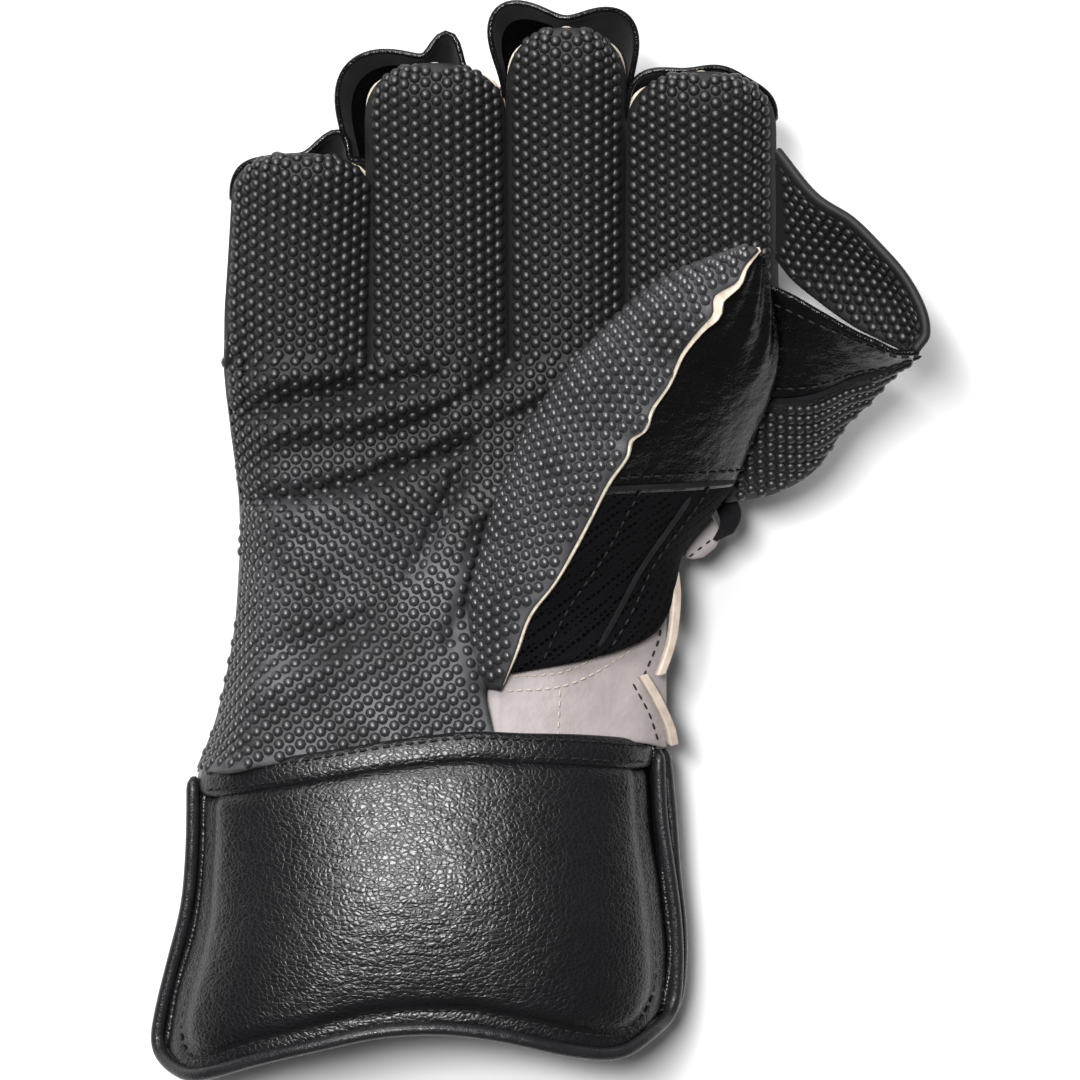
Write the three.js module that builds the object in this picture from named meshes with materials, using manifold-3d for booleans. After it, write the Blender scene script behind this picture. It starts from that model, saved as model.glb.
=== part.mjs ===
// A right hand wicketkeeping glove that lies on its back, palm up.
// Millimetres. +Z is out of the palm, +Y is towards the fingertips, +X is towards the thumb.
// The origin is on the flat underside of the hand back, below the middle of the palm.
import * as THREE from "three";
import Module from "manifold-3d";

const wasm = await Module();
wasm.setup();

// Sizes of the hand
const HAND_WIDTH = 150; // across the knuckles, from the little finger's edge to the index finger's
const HAND_LENGTH = 100; // from the wrist seam to the forks of the fingers
const PALM_HEIGHT = 40; // from the surface that the glove lies on to the palm facing
const WRIST_Y = -52; // the wrist seam, measured from the middle of the palm
const PALM_ROLL = 17; // how far in from the outer edge the palm facing curls down
const BACK_FLAT = 1.6; // how much of the hand back's roundness is pressed flat by its weight

// Sizes of the fingers and the thumb
const FINGER_LENGTH = 86; // the longest finger, from fork to tip
const FINGER_LIFT = 32.4; // how far the longest finger's tip stands above its fork
const FINGER_CROWN = 8; // height of a finger facing's middle above its edges
const STALL_DEPTH = 28; // depth of a finger stall behind its facing, at the fork
const THUMB_LENGTH = 140; // from the heel of the thumb to its tip
const WEB_REACH = 100; // from the middle of the palm to the outer fold of the web

// Sizes of the cuff
const CUFF_WIDTH = 145; // across the padded front panel at the mouth
const CUFF_LENGTH = 84; // from the wrist seam to the mouth
const CUFF_HEIGHT = 60; // from the surface that the glove lies on to the front panel
const YOKE_WIDTH = 8; // the plain band between the palm and the padded panel

// Walls, rolls and clearances
const RUBBER_WALL = 2.4; // pimpled rubber on its cloth backing
const LEATHER_WALL = 1.6; // leather of the stalls, the caps and the web
const BACK_WALL = 3.2; // quilted leather on the back of the hand
const CUFF_EDGE_WALL = 3; // the cuff panels where they are stitched down
const CUFF_PADDING = 6; // foam that the middle of a cuff panel has on top of that
const PIPING_RADIUS = 1.8; // the cord that is rolled into the cuff's edge
const BINDING_WIDTH = 3.6; // the folded binding strips beside the gusset
const BINDING_WALL = 1.8;
const GAP = 0.3; // clearance between pieces that lie against each other

// The hand in plan and in height, from the wrist (0) to the forks (1).
// left and right are shares of HAND_WIDTH, seam and face are shares of PALM_HEIGHT,
// side is where the hand back ends on the thumb's side, a share of HAND_WIDTH.
const HAND = [
  { at: 0.0, left: -0.622, right: -0.083, seam: 0.6, face: 1.2, side: 0.218 },
  { at: 0.12, left: -0.588, right: -0.1, seam: 0.6, face: 1.14, side: 0.212 },
  { at: 0.33, left: -0.556, right: -0.13, seam: 0.6, face: 1.07, side: 0.205 },
  { at: 0.47, left: -0.547, right: -0.11, seam: 0.625, face: 1.03, side: 0.245 },
  { at: 0.6, left: -0.543, right: -0.083, seam: 0.65, face: 1.0, side: 0.28 },
  { at: 0.72, left: -0.549, right: -0.02, seam: 0.66, face: 0.97, side: 0.315 },
  { at: 0.84, left: -0.56, right: 0.12, seam: 0.69, face: 0.96, side: 0.35 },
  { at: 0.92, left: -0.567, right: 0.305, seam: 0.7, face: 0.97, side: 0.39 },
  { at: 1.0, left: -0.572, right: 0.43, seam: 0.72, face: 0.98, side: 0.43 },
];

// Folds (+) and valleys (-) of the palm facing. Places are shares of the palm across and along,
// rise is a share of PALM_HEIGHT and width is a share of HAND_LENGTH.
const PALM_FOLDS = [
  { from: [0.02, 0.74], to: [0.62, 0.86], rise: 0.09, width: 0.06 },
  { from: [0.06, 0.66], to: [0.5, 0.78], rise: -0.1, width: 0.045 },
  { from: [0.12, 0.62], to: [0.75, 0.74], rise: 0.08, width: 0.05 },
  { from: [0.08, 0.52], to: [0.92, 0.64], rise: -0.13, width: 0.055 },
  { from: [0.25, 0.44], to: [0.6, 0.5], rise: 0.1, width: 0.08 },
  { from: [0.42, 0.4], to: [0.46, 0.33], rise: -0.11, width: 0.06 },
  { from: [0.2, 0.24], to: [0.34, 0.3], rise: -0.07, width: 0.05 },
  { from: [0.1, 0.12], to: [0.4, 0.3], rise: 0.06, width: 0.06 },
  { from: [0.78, 0.2], to: [0.82, 0.42], rise: -0.09, width: 0.05 },
  { from: [0.95, 0.1], to: [0.98, 0.34], rise: 0.05, width: 0.06 },
];

// The fingers. fork and tip hold a finger's left and right edges there, in shares of HAND_WIDTH.
// reach is a share of FINGER_LENGTH, lift a share of FINGER_LIFT, and stall is the share of the
// finger where the stall's back ends and the tip cap begins. Each lobe is a pinched ear of the
// cap that stands out round the tip: angle and spread in degrees, out in shares of FINGER_CROWN.
const FINGERS = [
  {
    name: "little",
    fork: [-0.572, -0.3125],
    tip: [-0.54, -0.303],
    reach: 0.635,
    lift: 0.56,
    stall: 0.78,
    lobes: [{ angle: 24, spread: 12, out: 0.95 }, { angle: -50, spread: 22, out: 0.14 }],
  },
  {
    name: "ring",
    fork: [-0.309, -0.0575],
    tip: [-0.307, -0.062],
    reach: 0.9,
    lift: 0.84,
    stall: 0.68,
    lobes: [{ angle: -54, spread: 36, out: 1.4 }, { angle: 7, spread: 10, out: 1.05 }],
  },
  {
    name: "middle",
    fork: [-0.054, 0.151],
    tip: [-0.0585, 0.151],
    reach: 1,
    lift: 1,
    stall: 0.8,
    lobes: [{ angle: -40, spread: 28, out: 1.45 }, { angle: 38, spread: 31, out: 1.1 }],
  },
  {
    name: "index",
    fork: [0.1545, 0.43],
    tip: [0.1545, 0.411],
    reach: 0.872,
    lift: 0.89,
    stall: 0.84,
    lobes: [{ angle: -42, spread: 25, out: 0.4 }, { angle: 12, spread: 20, out: 0.25 }],
  },
];
const TIP_SHARE = 0.8; // where a facing's outline begins to close round the tip
const FORK_FACE = 0.98; // a facing's height at the fork, a share of PALM_HEIGHT
const CURL_SHARE = 0.65; // share of a finger's rise that comes from its curl, not its slope
const STALL_SQUARENESS = 2.6; // the stall's section: 2 is an ellipse and more is squarer
const STALL_TIP_DEPTH = 0.62; // depth where the cap begins, a share of STALL_DEPTH

// The thumb from its heel (0) to its tip (1), all in shares of THUMB_LENGTH from the wrist seam's
// corner of the palm. fold is where the facing leaves the palm, swell its widest place, ridge the
// cut edge on top, knee the outer side, keel where the side ends below and under the lowest place.
const THUMB = [
  {
    at: 0,
    fold: [-0.016, 0.003, 0.318],
    swell: [-0.006, 0.003, 0.326],
    ridge: [0.0, 0.003, 0.328],
    knee: [0.24, 0.075, 0.29],
    keel: [0.31, 0.14, 0.215],
    under: [0.15, 0.1, 0.2],
  },
  {
    at: 0.17,
    fold: [-0.052, 0.179, 0.297],
    swell: [-0.012, 0.186, 0.35],
    ridge: [0.057, 0.156, 0.386],
    knee: [0.315, 0.184, 0.285],
    keel: [0.335, 0.21, 0.214],
    under: [0.18, 0.24, 0.2],
  },
  {
    at: 0.33,
    fold: [-0.002, 0.357, 0.292],
    swell: [0.028, 0.36, 0.372],
    ridge: [0.133, 0.269, 0.429],
    knee: [0.386, 0.3, 0.3],
    keel: [0.379, 0.32, 0.221],
    under: [0.2, 0.36, 0.235],
  },
  {
    at: 0.43,
    fold: [0.043, 0.443, 0.303],
    swell: [0.05, 0.439, 0.393],
    ridge: [0.179, 0.364, 0.464],
    knee: [0.431, 0.383, 0.343],
    keel: [0.386, 0.393, 0.243],
    under: [0.22, 0.42, 0.252],
  },
  {
    at: 0.55,
    fold: [0.1, 0.521, 0.325],
    swell: [0.086, 0.529, 0.421],
    ridge: [0.234, 0.456, 0.514],
    knee: [0.472, 0.477, 0.393],
    keel: [0.4, 0.479, 0.286],
    under: [0.26, 0.5, 0.272],
  },
  {
    at: 0.75,
    fold: [0.21, 0.635, 0.425],
    swell: [0.181, 0.66, 0.517],
    ridge: [0.316, 0.601, 0.586],
    knee: [0.523, 0.62, 0.497],
    keel: [0.44, 0.607, 0.357],
    under: [0.33, 0.613, 0.34],
  },
  {
    at: 0.9,
    fold: [0.34, 0.753, 0.53],
    swell: [0.309, 0.782, 0.603],
    ridge: [0.393, 0.742, 0.66],
    knee: [0.513, 0.737, 0.577],
    keel: [0.45, 0.72, 0.475],
    under: [0.385, 0.73, 0.45],
  },
  {
    at: 1,
    fold: [0.448, 0.824, 0.655],
    swell: [0.458, 0.838, 0.69],
    ridge: [0.475, 0.832, 0.7],
    knee: [0.49, 0.826, 0.68],
    keel: [0.472, 0.814, 0.645],
    under: [0.462, 0.816, 0.64],
  },
];
const THUMB_ROOT_X = -12;
const THUMB_ROOT_SHARE = 0.09; // the thumb's heel beyond the wrist seam, a share of HAND_LENGTH
const THUMB_CAP_SHARE = 0.46; // the seam between the mesh side and the leather cap

// The web between thumb and index finger. Points are shares of WEB_REACH from the origin: its
// upper edge and its lower edge, first the band from the index finger to the outer fold, then the
// panel from the fold back to the thumb.
const WEB_BAND = [
  { upper: [0.635, 1.025, 0.62], lower: [0.65, 0.761, 0.4] },
  { upper: [0.724, 0.909, 0.66], lower: [0.686, 0.706, 0.43] },
  { upper: [0.818, 0.844, 0.68], lower: [0.736, 0.656, 0.46] },
  { upper: [0.889, 0.772, 0.7], lower: [0.786, 0.611, 0.5] },
  { upper: [0.956, 0.691, 0.72], lower: [0.846, 0.566, 0.54] },
  { upper: [1.002, 0.602, 0.735], lower: [0.905, 0.533, 0.58] },
  { upper: [1.012, 0.532, 0.74], lower: [0.966, 0.504, 0.61] },
  { upper: [0.985, 0.488, 0.74], lower: [0.982, 0.484, 0.62] },
];
const WEB_PANEL = [
  { upper: [0.98, 0.478, 0.74], lower: [0.985, 0.473, 0.62] },
  { upper: [0.92, 0.48, 0.745], lower: [0.928, 0.426, 0.57] },
  { upper: [0.86, 0.51, 0.75], lower: [0.875, 0.362, 0.51] },
  { upper: [0.8, 0.538, 0.755], lower: [0.815, 0.302, 0.46] },
  { upper: [0.72, 0.585, 0.76], lower: [0.737, 0.188, 0.4] },
  { upper: [0.647, 0.628, 0.76], lower: [0.63, 0.125, 0.37] },
  { upper: [0.56, 0.668, 0.76], lower: [0.5, 0.1, 0.35] },
];
const WEB_SEAM_SHARE = 0.52; // share of the panel's depth where its lower, pimpled part begins

// The padded front of the cuff. across runs from the little finger's side (0) to the thumb's (1);
// top and mouth are its ends, shares of CUFF_LENGTH from the wrist seam.
const CUFF_ENDS = [
  { at: 0, top: -0.119, mouth: -1.01 },
  { at: 0.06, top: -0.104, mouth: -1.072 },
  { at: 0.18, top: -0.075, mouth: -1.014 },
  { at: 0.3, top: -0.047, mouth: -0.962 },
  { at: 0.43, top: -0.015, mouth: -0.912 },
  { at: 0.6, top: 0.012, mouth: -0.903 },
  { at: 0.72, top: 0.006, mouth: -0.942 },
  { at: 0.83, top: 0, mouth: -0.985 },
  { at: 0.92, top: -0.012, mouth: -0.99 },
  { at: 1, top: -0.03, mouth: -0.89 },
];
// The cuff's two sides from the wrist (0) to the mouth (1): left and right are shares of
// CUFF_WIDTH, side and crown are shares of CUFF_HEIGHT, and beyond is how far the back panel
// stands out past the front on the thumb's side, a share of CUFF_BACK_REACH.
const CUFF_SIDES = [
  { at: 0, left: -0.64, right: 0.212, side: 0.47, crown: 0.88, beyond: 0.6 },
  { at: 0.3, left: -0.642, right: 0.219, side: 0.47, crown: 0.95, beyond: 1.0 },
  { at: 0.55, left: -0.656, right: 0.237, side: 0.46, crown: 1.0, beyond: 0.5 },
  { at: 0.8, left: -0.692, right: 0.249, side: 0.45, crown: 1.0, beyond: 0.5 },
  { at: 1, left: -0.71, right: 0.241, side: 0.45, crown: 0.97, beyond: 0.2 },
];
const CUFF_BACK_REACH = 2.6; // how far the back panel stands out past the front at most

// Finishes
const RUBBER = new THREE.MeshStandardMaterial({ color: 0x2b2b2f, roughness: 0.5, metalness: 0 });
const LEATHER = new THREE.MeshStandardMaterial({ color: 0x141416, roughness: 0.42, metalness: 0 });
const SUEDE = new THREE.MeshStandardMaterial({ color: 0x101012, roughness: 0.9, metalness: 0 });
const GRAINED = new THREE.MeshStandardMaterial({ color: 0x18181b, roughness: 0.38, metalness: 0 });
const PIPING = new THREE.MeshStandardMaterial({ color: 0x232327, roughness: 0.4, metalness: 0 });
const MESH_CLOTH = new THREE.MeshStandardMaterial({ color: 0x0d0d0f, roughness: 0.85, metalness: 0 });
const WHITE = new THREE.MeshStandardMaterial({ color: 0xcfc6c7, roughness: 0.6, metalness: 0 });
const CREAM = new THREE.MeshStandardMaterial({ color: 0xcdb9a0, roughness: 0.7, metalness: 0 });

const glove = new THREE.Group();
glove.name = "wicketkeeping_glove";

// A smooth value between the rows of a table, for one of its columns.
function read(table, column, at) {
  let k = 0;
  while (k < table.length - 2 && table[k + 1].at < at) k += 1;
  const before = Math.max(k - 1, 0);
  const after = Math.min(k + 2, table.length - 1);
  const rows = [table[before], table[k], table[k + 1], table[after]];
  const share = (at - rows[1].at) / (rows[2].at - rows[1].at);
  const value = (row, axis) => (axis < 0 ? row[column] : row[column][axis]);
  const blend = (axis) => {
    const [a, b, c, d] = rows.map((row) => value(row, axis));
    const slopeB = ((c - a) / Math.max(rows[2].at - rows[0].at, 1e-6)) * (rows[2].at - rows[1].at);
    const slopeC = ((d - b) / Math.max(rows[3].at - rows[1].at, 1e-6)) * (rows[2].at - rows[1].at);
    const s = THREE.MathUtils.clamp(share, 0, 1);
    const early = b * (1 + 2 * s) * (1 - s) ** 2 + slopeB * s * (1 - s) ** 2;
    return early + c * s * s * (3 - 2 * s) + slopeC * s * s * (s - 1);
  };
  if (Array.isArray(table[0][column])) return new THREE.Vector3(blend(0), blend(1), blend(2));
  return blend(-1);
}

// The same table with a running share in each row, for tables that only list edge points.
function paced(table) {
  return table.map((row, i) => ({ at: i / (table.length - 1), ...row }));
}

// A sheet with a wall: point(u, v) gives its outer face and the wall is laid on the inner side.
// The outer face looks along (change with u) x (change with v). grow makes the whole sheet
// larger on every side, which gives the space that a neighbour has to leave free.
function sheet(point, across, along, wall, grow = 0) {
  const grid = [];
  for (let j = 0; j <= along; j += 1) {
    const row = [];
    for (let i = 0; i <= across; i += 1) row.push(point(i / across, j / along));
    grid.push(row);
  }
  const normals = grid.map((row, j) =>
    row.map((_, i) => {
      const right = row[Math.min(i + 1, across)].clone().sub(row[Math.max(i - 1, 0)]);
      const up = grid[Math.min(j + 1, along)][i].clone().sub(grid[Math.max(j - 1, 0)][i]);
      return right.cross(up).normalize();
    }),
  );
  const place = (j, i, depth) => {
    const p = grid[j][i].clone();
    if (grow > 0) {
      const push = (from) => {
        const step = p.clone().sub(from);
        if (step.length() > 1e-6) p.addScaledVector(step.normalize(), grow);
      };
      if (i === 0) push(grid[j][1]);
      if (i === across) push(grid[j][across - 1]);
      if (j === 0) push(grid[1][i]);
      if (j === along) push(grid[along - 1][i]);
    }
    return p.addScaledVector(normals[j][i], -depth);
  };
  const positions = [];
  for (const face of [0, 1]) {
    for (let j = 0; j <= along; j += 1) {
      for (let i = 0; i <= across; i += 1) {
        const thick = typeof wall === "function" ? wall(i / across, j / along) : wall;
        const p = place(j, i, face === 0 ? -grow : thick + grow);
        positions.push(p.x, p.y, p.z);
      }
    }
  }
  const wide = across + 1;
  const half = wide * (along + 1);
  const triangles = [];
  const quad = (a, b, c, d) => triangles.push(a, b, c, a, c, d);
  for (let j = 0; j < along; j += 1) {
    for (let i = 0; i < across; i += 1) {
      const a = j * wide + i;
      quad(a, a + 1, a + 1 + wide, a + wide);
      quad(half + a, half + a + wide, half + a + wide + 1, half + a + 1);
    }
  }
  for (let i = 0; i < across; i += 1) {
    const low = i;
    const high = along * wide + i;
    quad(half + low, half + low + 1, low + 1, low);
    quad(high, high + 1, half + high + 1, half + high);
  }
  for (let j = 0; j < along; j += 1) {
    const left = j * wide;
    const right = left + across;
    quad(left, left + wide, half + left + wide, half + left);
    quad(half + right, half + right + wide, right + wide, right);
  }
  return solidFrom(positions, triangles);
}

// A solid that can be joined and cut, from plain arrays.
function solidFrom(positions, triangles) {
  const mesh = new wasm.Mesh({
    numProp: 3,
    vertProperties: new Float32Array(positions),
    triVerts: new Uint32Array(triangles),
  });
  return new wasm.Manifold(mesh);
}

// A round or flat strip along a curve.
function strip(points, halfWidth, halfWall, steps, sides) {
  const outline = new THREE.Shape();
  for (let k = 0; k < sides; k += 1) {
    const turn = (2 * Math.PI * (k + 0.5)) / sides;
    if (k === 0) outline.moveTo(halfWall * Math.cos(turn), halfWidth * Math.sin(turn));
    else outline.lineTo(halfWall * Math.cos(turn), halfWidth * Math.sin(turn));
  }
  outline.closePath();
  const path = new THREE.CatmullRomCurve3(points, false, "centripetal");
  const geometry = new THREE.ExtrudeGeometry(outline, { steps, extrudePath: path, bevelEnabled: false });
  const merged = new Map();
  const positions = [];
  const source = geometry.attributes.position;
  const index = [];
  for (let k = 0; k < source.count; k += 1) {
    const key = [source.getX(k), source.getY(k), source.getZ(k)].map((value) => value.toFixed(4)).join(",");
    if (!merged.has(key)) {
      merged.set(key, merged.size);
      positions.push(source.getX(k), source.getY(k), source.getZ(k));
    }
    index.push(merged.get(key));
  }
  const triangles = [];
  for (let k = 0; k < index.length; k += 3) {
    const [a, b, c] = index.slice(k, k + 3);
    if (a !== b && b !== c && c !== a) triangles.push(a, b, c);
  }
  return solidFrom(positions, triangles);
}

// Lays the next piece of the glove. build(grow) gives its raw solid; the space of each piece
// that is already laid is taken out of it, and its largest part stays.
const laid = [];
function lay(name, material, build) {
  let rest = build(0);
  for (const space of laid) rest = rest.subtract(space);
  const parts = rest.simplify(0.02).decompose();
  const piece = parts.reduce((best, part) => (part.volume() > best.volume() ? part : best));
  laid.push(build(GAP));
  const mesh = piece.getMesh();
  const positions = [];
  for (let k = 0; k < mesh.numVert; k += 1) {
    positions.push(...mesh.vertProperties.slice(k * mesh.numProp, k * mesh.numProp + 3));
  }
  const geometry = new THREE.BufferGeometry();
  geometry.setAttribute("position", new THREE.Float32BufferAttribute(positions, 3));
  geometry.setIndex([...mesh.triVerts]);
  geometry.computeVertexNormals();
  const node = new THREE.Mesh(geometry, material);
  node.name = name;
  glove.add(node);
}

const mix = THREE.MathUtils.lerp;
const bell = (distance, width) => Math.exp(-((distance / width) ** 2));
const tuck = GAP * 4; // how far short of the cuff the palm facing and the gusset stop

// The cuff's front edge line at the wrist, in Y, across the glove.
function cuffTop(a) {
  return WRIST_Y + CUFF_LENGTH * read(CUFF_ENDS, "top", a);
}

// Outer face of the cuff's front panel: a from side to side, v from the wrist to the mouth.
function cuffFace(a, v) {
  const top = cuffTop(a);
  const mouth = WRIST_Y + CUFF_LENGTH * read(CUFF_ENDS, "mouth", a);
  const x = CUFF_WIDTH * mix(read(CUFF_SIDES, "left", v), read(CUFF_SIDES, "right", v), a);
  const side = CUFF_HEIGHT * read(CUFF_SIDES, "side", v);
  const crown = CUFF_HEIGHT * read(CUFF_SIDES, "crown", v);
  const arch = (1 - Math.abs(2 * a - 1) ** 2.6) ** 0.62;
  return new THREE.Vector3(x, mix(top, mouth, v), mix(side, crown, arch));
}

// Outer face of the cuff's back panel, which the glove lies on.
function cuffUnderside(a, v) {
  const front = cuffFace(1 - a, v);
  const q = Math.abs(1 - 2 * a);
  const x = front.x + CUFF_BACK_REACH * read(CUFF_SIDES, "beyond", v) * (1 - a) ** 3;
  const side = CUFF_HEIGHT * read(CUFF_SIDES, "side", v) - GAP;
  const round = 1 - (1 - q ** 3) ** (1 / 3);
  const flat = BACK_FLAT * (1 - q ** 3);
  const y = mix(cuffTop(1 - a), WRIST_Y + CUFF_LENGTH * read(CUFF_ENDS, "mouth", 1 - a), v);
  return new THREE.Vector3(x, y, Math.max(0, side * round - flat));
}

// Foam is thickest in the middle of a panel and thin at its stitched edges.
function cuffWall(a, v) {
  const over = Math.sin(Math.PI * THREE.MathUtils.clamp(a, 0, 1)) ** 0.6;
  const down = Math.sin(Math.PI * THREE.MathUtils.clamp(v, 0, 1)) ** 0.5;
  return CUFF_EDGE_WALL + CUFF_PADDING * over * down;
}

// Cuff: piping first, then the panels that it edges.
const yokeEnd = YOKE_WIDTH / CUFF_LENGTH;
const cuffJoin = GAP / CUFF_LENGTH;
const pipingOut = PIPING_RADIUS * 0.7;
const PIPING_END_SHARE = 0.03; // where the pipings end at the wrist, a share of the cuff's length
// The route of a piping round one panel: its height beside the panel is set at the sides and at
// the mouth.
function pipingRoute(face, sideHeight, mouthHeight, turned) {
  const points = [];
  const push = (a, v, x, y, height) => {
    const p = face(turned ? 1 - a : a, v);
    points.push(new THREE.Vector3(p.x + x * pipingOut, p.y + y * pipingOut, p.z + height));
  };
  for (const v of [PIPING_END_SHARE, 0.15, 0.3, 0.5, 0.7, 0.88]) push(0, v, -1, 0, sideHeight);
  push(0, 1, -0.7, -0.7, sideHeight);
  for (const a of [0.06, 0.12, 0.2, 0.32, 0.44, 0.56, 0.68, 0.8, 0.9, 0.96]) push(a, 1, 0, -1, mouthHeight);
  push(1, 1, 0.7, -0.7, sideHeight);
  for (const v of [0.88, 0.7, 0.5, 0.3, 0.15, PIPING_END_SHARE]) push(1, v, 1, 0, sideHeight);
  return points;
}
const pipingCord = (route, grow) => strip(route, PIPING_RADIUS + grow, PIPING_RADIUS + grow, 36, 6);
const frontRoute = pipingRoute(cuffFace, 0, -CUFF_EDGE_WALL / 2, false);
lay("cuff_front_piping", PIPING, (grow) => pipingCord(frontRoute, grow));
const yokeFace = (a, v) => cuffFace(a, mix(0, yokeEnd - cuffJoin, 1 - v));
const panelFace = (a, v) => cuffFace(a, mix(yokeEnd, 1, 1 - v));
const frontWall = (a, v) => cuffWall(a, 1 - v);
lay("cuff_yoke", GRAINED, (grow) => sheet(yokeFace, 12, 1, CUFF_EDGE_WALL, grow));
lay("cuff_front", GRAINED, (grow) => sheet(panelFace, 12, 7, frontWall, grow));
const backRoute = pipingRoute(cuffUnderside, -2 * PIPING_RADIUS - GAP, PIPING_RADIUS, true);
lay("cuff_back_piping", PIPING, (grow) => pipingCord(backRoute, grow));
const undersideFace = (a, v) => cuffUnderside(a, 1 - v);
lay("cuff_back", GRAINED, (grow) => sheet(undersideFace, 12, 7, frontWall, grow));

// The palm facing: a from the outer edge to the thumb, t from the wrist to the forks.
function palmFace(a, t) {
  const wristRow = cuffTop(mix(0.02, 0.6, a)) - tuck;
  const y = mix(wristRow, WRIST_Y + HAND_LENGTH, t);
  const x = HAND_WIDTH * mix(read(HAND, "left", t), read(HAND, "right", t), a);
  const seam = PALM_HEIGHT * read(HAND, "seam", t);
  const face = PALM_HEIGHT * read(HAND, "face", t);
  const inFromEdge = x - HAND_WIDTH * read(HAND, "left", t);
  const roll = 1 - (1 - Math.min(1, inFromEdge / PALM_ROLL)) ** 2.4;
  let folds = 0;
  for (const fold of PALM_FOLDS) {
    const [u, w] = [fold.to[0] - fold.from[0], fold.to[1] - fold.from[1]];
    const s = THREE.MathUtils.clamp(
      ((a - fold.from[0]) * u + (t - fold.from[1]) * w) / (u * u + w * w),
      0,
      1,
    );
    const away = Math.hypot(a - fold.from[0] - s * u, t - fold.from[1] - s * w);
    folds += PALM_HEIGHT * fold.rise * bell(away, fold.width);
  }
  const calm = Math.min(1, (1 - t) / 0.12) * Math.min(1, t / 0.1);
  return new THREE.Vector3(x, y, mix(seam, face, roll) + folds * calm * roll);
}
lay("palm_facing", RUBBER, (grow) => sheet(palmFace, 13, 16, RUBBER_WALL, grow));

// The hand back, whose outer face is below: it is round at the sides and flat where it rests.
function handUnderside(a, t) {
  const left = HAND_WIDTH * read(HAND, "left", t);
  const right = HAND_WIDTH * read(HAND, "side", t);
  const q = Math.abs(1 - 2 * a);
  const seam = PALM_HEIGHT * mix(read(HAND, "seam", t), 0.75, (1 - a) ** 3) - GAP;
  const round = 1 - (1 - q ** 3) ** (1 / 3);
  const flat = BACK_FLAT * (1 - q ** 3);
  const wristRow = cuffTop(mix(1, 0, a)) + GAP;
  const y = mix(wristRow, WRIST_Y + HAND_LENGTH, t);
  return new THREE.Vector3(mix(right, left, a), y, Math.max(0, seam * round - flat));
}

// Thumb: four pieces round one section, each a bow through three places of the thumb table.
const thumbRoot = new THREE.Vector3(THUMB_ROOT_X, WRIST_Y + THUMB_ROOT_SHARE * HAND_LENGTH, 0);
function thumbPlace(column, s) {
  return read(THUMB, column, s).multiplyScalar(THUMB_LENGTH).add(thumbRoot);
}
function bow(first, middle, last, a) {
  const control = middle.clone().multiplyScalar(2).addScaledVector(first, -0.5).addScaledVector(last, -0.5);
  return first
    .clone()
    .multiplyScalar((1 - a) ** 2)
    .addScaledVector(control, 2 * a * (1 - a))
    .addScaledVector(last, a * a);
}
const thumbFace = (a, s) => bow(thumbPlace("fold", s), thumbPlace("swell", s), thumbPlace("ridge", s), a);
const thumbSide = (a, s) => bow(thumbPlace("ridge", s), thumbPlace("knee", s), thumbPlace("keel", s), a);
const thumbBelow = (a, s) => bow(thumbPlace("keel", s), thumbPlace("under", s), thumbPlace("fold", s), a);
const panelShare = (a, v) => thumbSide(a, mix(0.05, THUMB_CAP_SHARE - GAP / THUMB_LENGTH, v));
const capShare = (a, v) => thumbSide(a, mix(THUMB_CAP_SHARE, 0.99, v));
const belowShare = (a, v) => thumbBelow(a, mix(0.36, 0.98, v));
const faceShare = (a, v) => thumbFace(a, mix(0.02, 1, v));
lay("thumb_facing", RUBBER, (grow) => sheet(faceShare, 6, 13, RUBBER_WALL, grow));
lay("thumb_side_panel", MESH_CLOTH, (grow) => sheet(panelShare, 6, 5, LEATHER_WALL, grow));
lay("thumb_cap", LEATHER, (grow) => sheet(capShare, 7, 7, LEATHER_WALL, grow));
lay("thumb_back", LEATHER, (grow) => sheet(belowShare, 5, 7, LEATHER_WALL, grow));

// The white gusset fills the wrist between the palm facing, the thumb and the hand back.
const GUSSET = [
  { at: 0, x: -0.08, top: 0.19, face: 1.12 },
  { at: 0.35, x: 0.03, top: 0.22, face: 1.1 },
  { at: 0.6, x: 0.12, top: 0.25, face: 1.0 },
  { at: 0.82, x: 0.195, top: 0.31, face: 0.88 },
  { at: 1, x: 0.228, top: 0.4, face: 0.76 },
];
function gussetFace(a, v) {
  const low = cuffTop(mix(0.6, 1, a)) - tuck;
  const high = WRIST_Y + HAND_LENGTH * read(GUSSET, "top", a);
  const x = HAND_WIDTH * read(GUSSET, "x", a);
  const sag = GAP * 8 * v;
  return new THREE.Vector3(x, mix(low, high, v), PALM_HEIGHT * read(GUSSET, "face", a) - sag);
}
lay("wrist_gusset", WHITE, (grow) => sheet(gussetFace, 7, 3, LEATHER_WALL, grow));
lay("hand_back", LEATHER, (grow) => sheet(handUnderside, 12, 7, BACK_WALL, grow));

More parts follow.
